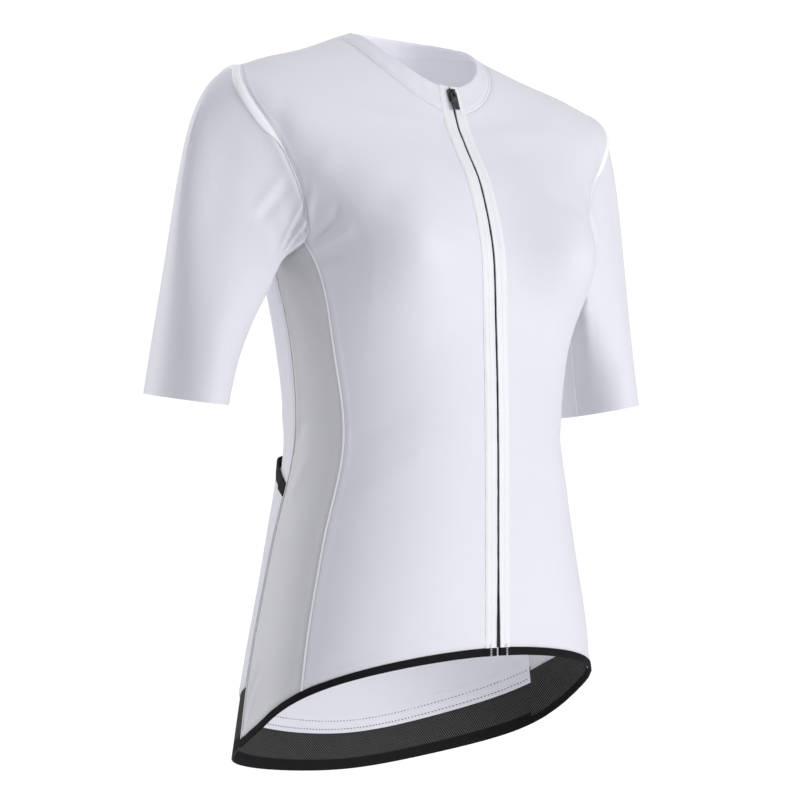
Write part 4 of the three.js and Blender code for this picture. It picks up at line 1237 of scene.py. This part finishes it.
def pocket_places(parts, from_rise, to_rise, rows):
    share = np.linspace(0, 1, rows)[None, :]
    rise = mix(from_rise[:, None], to_rise[:, None], share)
    seam = side_seam("back", back_seam_level(GRIPPER_SHARE))
    foot = gripper_top(left_turn(back_turn(parts, seam)))
    level = mix(foot[:, None], mouth_level(parts)[:, None], rise)
    turn = back_turn(parts[:, None], side_seam("back", level))
    return turn, level, pocket_stand(parts[:, None], rise), rise


def elastic_start(parts):
    turn = back_turn(parts, side_seam("back", MOUTH["side"]))
    foot = gripper_top(left_turn(turn))
    height = np.linalg.norm(body_point(turn, foot) - body_point(turn, mouth_level(parts)), axis=-1)
    return 1 - POCKET_ELASTIC_HEIGHT / height


def pocket_ruffle(parts, rise, run):
    """Small gathers under the elastic, deepest at the side seams, fading down the panel."""
    near_side = np.exp(-np.minimum(parts, 1 - parts) / 0.07)
    return (0.45 + 2.8 * near_side) * uneven(run * 0.75, 3.1) * smooth((rise - 0.5) / 0.5)


DIVIDES = {"left": 1 / 3, "right": 2 / 3}
DIVIDE_DIP = {"depth": 0.35, "reach": 1.1}
DIVIDE_SWELL = {"height": 0.35, "away": 4, "reach": 2.4}
PANEL_ACROSS = 320    # turns a share of the panel's width into millimetres, roughly
pocket_parts = spread(150)
start = elastic_start(pocket_parts)
turns, levels, stand, rise = pocket_places(pocket_parts, 0 * start, start, 60)
points, normals = on_body(turns, levels)
run = run_along(points[:, -1])[:, None]
nearest = np.min([np.abs(pocket_parts - part) for part in DIVIDES.values()], axis=0)
ridges = rolled(nearest[:, None] * PANEL_ACROSS, DIVIDE_DIP, DIVIDE_SWELL)
lift = stand + POCKET_WALL + pocket_ruffle(pocket_parts[:, None], rise, run) + ridges
lift = lift + seam_relief(points, ["first", "last", "bottom"], 8.0, 0.8)
lift = np.maximum(lift, POCKET_WALL + 0.25)
outer = raised(trimmed(points, ALL_EDGES), normals, lift)
cloth("pocket_cloth", outer, normals, POCKET_WALL, FACE_KNIT, "white_knit", node="pocket_panel")

turns, levels, stand, rise = pocket_places(pocket_parts, start, 0 * start + 1, 14)
points, normals = on_body(turns, levels)
face = np.linspace(0, 1, 14)[None, :]
band_shape = 0.3 * domed(face, 6) + 0.12 * np.abs(np.sin(3 * np.pi * face))
near_side = np.exp(-np.minimum(pocket_parts, 1 - pocket_parts) / 0.05)[:, None]
gather = (0.25 + 1.2 * near_side) * uneven(run * 0.75, 3.1)
lift = np.maximum(stand + POCKET_WALL + band_shape + 0.8 * gather, POCKET_WALL + 0.4)
outer = raised(trimmed(points, ["first", "last", "bottom"]), normals, lift)
cloth("pocket_mouth_band", outer, normals, POCKET_WALL + 0.2, POCKET_ELASTIC, "black_elastic",
      node="pocket_elastic")

# %% [markdown]
# ## Seams and stitches
# The panels are joined by flatlock: a flat ladder of thread that lies over the joint. Each seam is
# a low domed ribbon, one to two millimetres wide, along its own line, so it also closes the
# hairline gap between two shells. Coverstitch and bar-tacks show as separate stitches, and those
# are small blocks set out along a line at an even pitch.


# %% Ribbons of thread and rows of stitches
def ribbon(name, path, normals, width, height, lift=0.0):
    """A low domed ribbon of thread along a seam."""
    across = unit(np.cross(unit(np.gradient(path, axis=0)), normals))
    rings = []
    for angle in np.linspace(0, 2 * np.pi, 13)[:-1]:
        aside = across * (math.cos(angle) * width / 2)
        rings.append(path + aside + normals * (lift + math.sin(angle) * height))
    link(name, tube_mesh(name, np.stack(rings)), SEAM_THREAD)


def tube_mesh(name, grid):
    """A tube from a grid [around, along], closed at its ends."""
    count, rows = grid.shape[:2]
    index = np.arange(count * rows).reshape(count, rows)
    ring = np.concatenate([index, index[:1]])
    caps = []
    for row, flip in ((0, False), (rows - 1, True)):
        loop = index[:, row]
        for step in range(0, count // 2 - 1):
            quad = [loop[step], loop[step + 1], loop[count - 2 - step], loop[count - 1 - step]]
            caps.append(quad if flip else quad[::-1])
    run = np.cumsum(np.linalg.norm(np.diff(grid, axis=1, prepend=grid[:, :1]), axis=-1), axis=1)
    around = np.broadcast_to(np.arange(count)[:, None] * 0.5, run.shape)
    uvs = np.stack([around, run], -1).reshape(-1, 2)
    return mesh_from(name, grid.reshape(-1, 3), np.concatenate([quads(ring), np.array(caps)]), uvs)


def stitches(name, path, normals, pitch, length, width, lift, material=SEAM_THREAD):
    """A row of stitches along a line."""
    centres, ahead, out = even_places(path, normals, pitch)
    half = (width / 2, width / 2.4, length / 2)
    mesh = block_mesh(name, centres + out * lift, unit(np.cross(ahead, out)), out, ahead, half, taper=0.7)
    link(name, mesh, material, sharp=80)


# %% Side seams, front and back
side_rise = np.linspace(0, 1, 150)
for side in ("left", "right"):
    for which, junction, width in (("front", FRONT_JUNCTION, 1.9), ("back", BACK_JUNCTION, 1.4)):
        level = mix(binding_top(side_seam(which, 0)), ARMHOLE_LEVELS[junction], side_rise)
        seam = on_body(side_seam(which, level), level)
        ribbon(f"{which}_side_seam_{side}", *for_side(side, *seam), width, 0.6, lift=0.15)

# %% Armholes, shoulders, neck and the foot of the pockets
armhole_places = np.linspace(0, ARMHOLE_ROWS, 321)
level, turn = armhole(armhole_places)
path, normals = on_body(turn, level)
sleeve_normals = sleeve_places(armhole_places, np.full(321, 0.012), "left")[1]
armhole_seam = path, unit(normals + sleeve_normals)
shoulder_seam = on_body(np.full(60, float(SHOULDER_SEAM)), np.linspace(ARMHOLE_LEVELS[0], NECK, 60))
down_sleeve = np.linspace(0.01, 0.995, 80)
for side in ("left", "right"):
    ribbon(f"armhole_seam_{side}", *for_side(side, *armhole_seam), 1.3, 0.6, lift=0.15)
    ribbon(f"shoulder_seam_{side}", *for_side(side, *shoulder_seam), 1.8, 0.45, lift=-0.1)
    under = sleeve_places(mix(8.0, 7.7, down_sleeve), down_sleeve, side)
    ribbon(f"sleeve_seam_{side}", *for_side(side, *under), 1.6, 0.5)

neck_turns = np.linspace(neck_start + 1, 359 - neck_start, 260)
path, normals = on_body(neck_turns, np.full(260, float(NECK)))
neck_normals = unit(normals + normal_of(collar_point, neck_turns, np.full(260, 0.02)))
ribbon("neck_seam", path, neck_normals, 1.6, 0.5, lift=-0.1)
ribbon("neck_seam_inside", path - neck_normals * 2.0, -neck_normals, 2.2, 0.4)
neck_gap = np.linalg.norm(body_point(neck_turns, NECK) - body_point(neck_turns, NECK - 0.2), axis=-1) / 0.2
for number, below in enumerate((2.6, 4.4)):
    row = on_body(neck_turns, NECK - below / neck_gap)
    stitches(f"neck_stitches_{number + 1}", *row, 2.4, 1.9, 0.35, lift=0.3)

foot_parts = np.linspace(0.004, 0.996, 220)
foot_turns, foot_levels = pocket_places(foot_parts, 0 * foot_parts, 0 * foot_parts, 1)[:2]
ribbon("pocket_foot_seam", *on_body(foot_turns[:, 0], foot_levels[:, 0]), 2.0, 0.7, lift=0.6)
for side, part in DIVIDES.items():
    turns, levels = pocket_places(np.array([part]), np.array([0.02]), np.array([0.97]), 100)[:2]
    stitches(f"pocket_divide_{side}", *on_body(turns[0], levels[0]), 2.8, 2.1, 0.6,
             lift=POCKET_FOOT_CLEAR + POCKET_WALL - 0.2)

# %% Stitches on the tapes, the gripper's lap and the bar-tacks
BAR_TACK = 8.6        # from the centre line
LAP_ROWS = (0.8, 0.96)
tape_line, tape_normals = front_line([TAPE_STITCH], 300)
tack_level = np.linspace(-0.002, binding_top(3.0) * 1.5, 20)
tack = on_body(turn_at(BAR_TACK, tack_level), tack_level)
for side in ("left", "right"):
    stitches(f"tape_stitches_{side}", *for_side(side, tape_line[0], tape_normals[0]), 2.7, 2.1, 0.4, lift=0.7)
    stitches(f"bar_tack_{side}", *for_side(side, *tack), 1.3, 0.6, 1.5, lift=2.05)

for number, share in enumerate(LAP_ROWS):
    lap_turn, lap_level = gripper_places(np.linspace(0.01, 0.99, 220), np.array([share]))
    path, normals = on_body(lap_turn[:, 0], lap_level[:, 0])
    stitches(f"lap_stitches_{number + 1}", path, -normals, 3.6, 1.5, 0.9, lift=2.65, material=DARK_THREAD)

# %% [markdown]
# ## Light, floor and camera
# The jersey hangs as if worn, so the floor lies well below it. The light is a soft studio: a wide
# pale sky, a large panel from the wearer's left and front that draws the folds, one from behind
# that rims the right sleeve, and a weak one above. Two small lamps in the hollow show the cloth's
# inner face. The camera stands low at the jersey's right front, with a long lens.

# %% Floor
FLOOR_Z = -1.45
FLOOR_RADIUS = 3.0
bpy.ops.mesh.primitive_circle_add(vertices=96, radius=FLOOR_RADIUS, fill_type="NGON",
                                  location=(0, 0, FLOOR_Z))
floor = bpy.context.object
floor.name = "studio_floor"
floor.data.materials.append(new_material("studio_floor", (0.9, 0.9, 0.9), 0.9)[0])


# %% Sky and lights
def set_sky(seen, light):
    """A plain sky, with its own strength for what the camera sees of it."""
    world = bpy.data.worlds.new("studio_sky")
    bpy.context.scene.world = world
    world.use_nodes = True
    tree = world.node_tree
    ground = fill(tree, tree.nodes["Background"], {"Color": (0.93, 0.95, 1.0, 1), "Strength": light})
    bright = new_node(tree, "Background", Color=(1, 1, 1, 1), Strength=seen)
    blend = new_node(tree, "MixShader", Fac=new_node(tree, "LightPath").outputs["Is Camera Ray"])
    connect(tree, ground.outputs["Background"], blend.inputs[1])
    connect(tree, bright.outputs["Background"], blend.inputs[2])
    connect(tree, blend.outputs["Shader"], tree.nodes["World Output"].inputs["Surface"])


def place_light(name, data, place, power):
    data.energy = power
    lamp = bpy.data.objects.new(name, data)
    bpy.context.scene.collection.objects.link(lamp)
    lamp.location = place
    return lamp


def panel_light(name, place, aim, size, power):
    data = bpy.data.lights.new(name, "AREA")
    data.shape = "RECTANGLE"
    data.size, data.size_y = size
    lamp = place_light(name, data, place, power)
    lamp.rotation_euler = (Vector(aim) - Vector(place)).to_track_quat("-Z", "Y").to_euler()


def inner_light(name, place, power):
    """A small lamp inside the hollow, as a studio hides one there to show the cloth's inner face."""
    data = bpy.data.lights.new(name, "POINT")
    data.shadow_soft_size = 0.04
    place_light(name, data, place, power).visible_camera = False


set_sky(seen=1.05, light=0.55)
MIDDLE = (0, 0, -0.31)
panel_light("key_panel", place=(1.0, -2.3, -0.1), aim=MIDDLE, size=(1.8, 1.8), power=42)
panel_light("rim_panel", place=(-1.3, 2.0, 0.4), aim=MIDDLE, size=(1.0, 1.8), power=24)
panel_light("top_panel", place=(-0.7, 0.2, 1.6), aim=(0, 0.0, -0.1), size=(1.4, 1.4), power=8)
inner_light("neck_lamp", place=(0, -0.02, -0.11), power=0.27)
inner_light("hem_lamp", place=(0, 0.0, -0.42), power=0.3)
bpy.context.scene.view_settings.view_transform = "Standard"

# %% Camera
CAMERA_AZIMUTH = math.radians(-38)
CAMERA_DISTANCE = 1.85
CAMERA_Z = -0.389
AIM = Vector((-0.022, 0.017, -0.310))
camera_data = bpy.data.cameras.new("studio_camera")
camera_data.lens = 94.9
camera_data.sensor_width = 36
camera = bpy.data.objects.new("studio_camera", camera_data)
camera.location = (math.sin(CAMERA_AZIMUTH) * CAMERA_DISTANCE,
                   -math.cos(CAMERA_AZIMUTH) * CAMERA_DISTANCE, CAMERA_Z)
camera.rotation_euler = (AIM - camera.location).to_track_quat("-Z", "Y").to_euler()
bpy.context.scene.collection.objects.link(camera)
bpy.context.scene.camera = camera

# %% The end
bpy.context.view_layer.update()
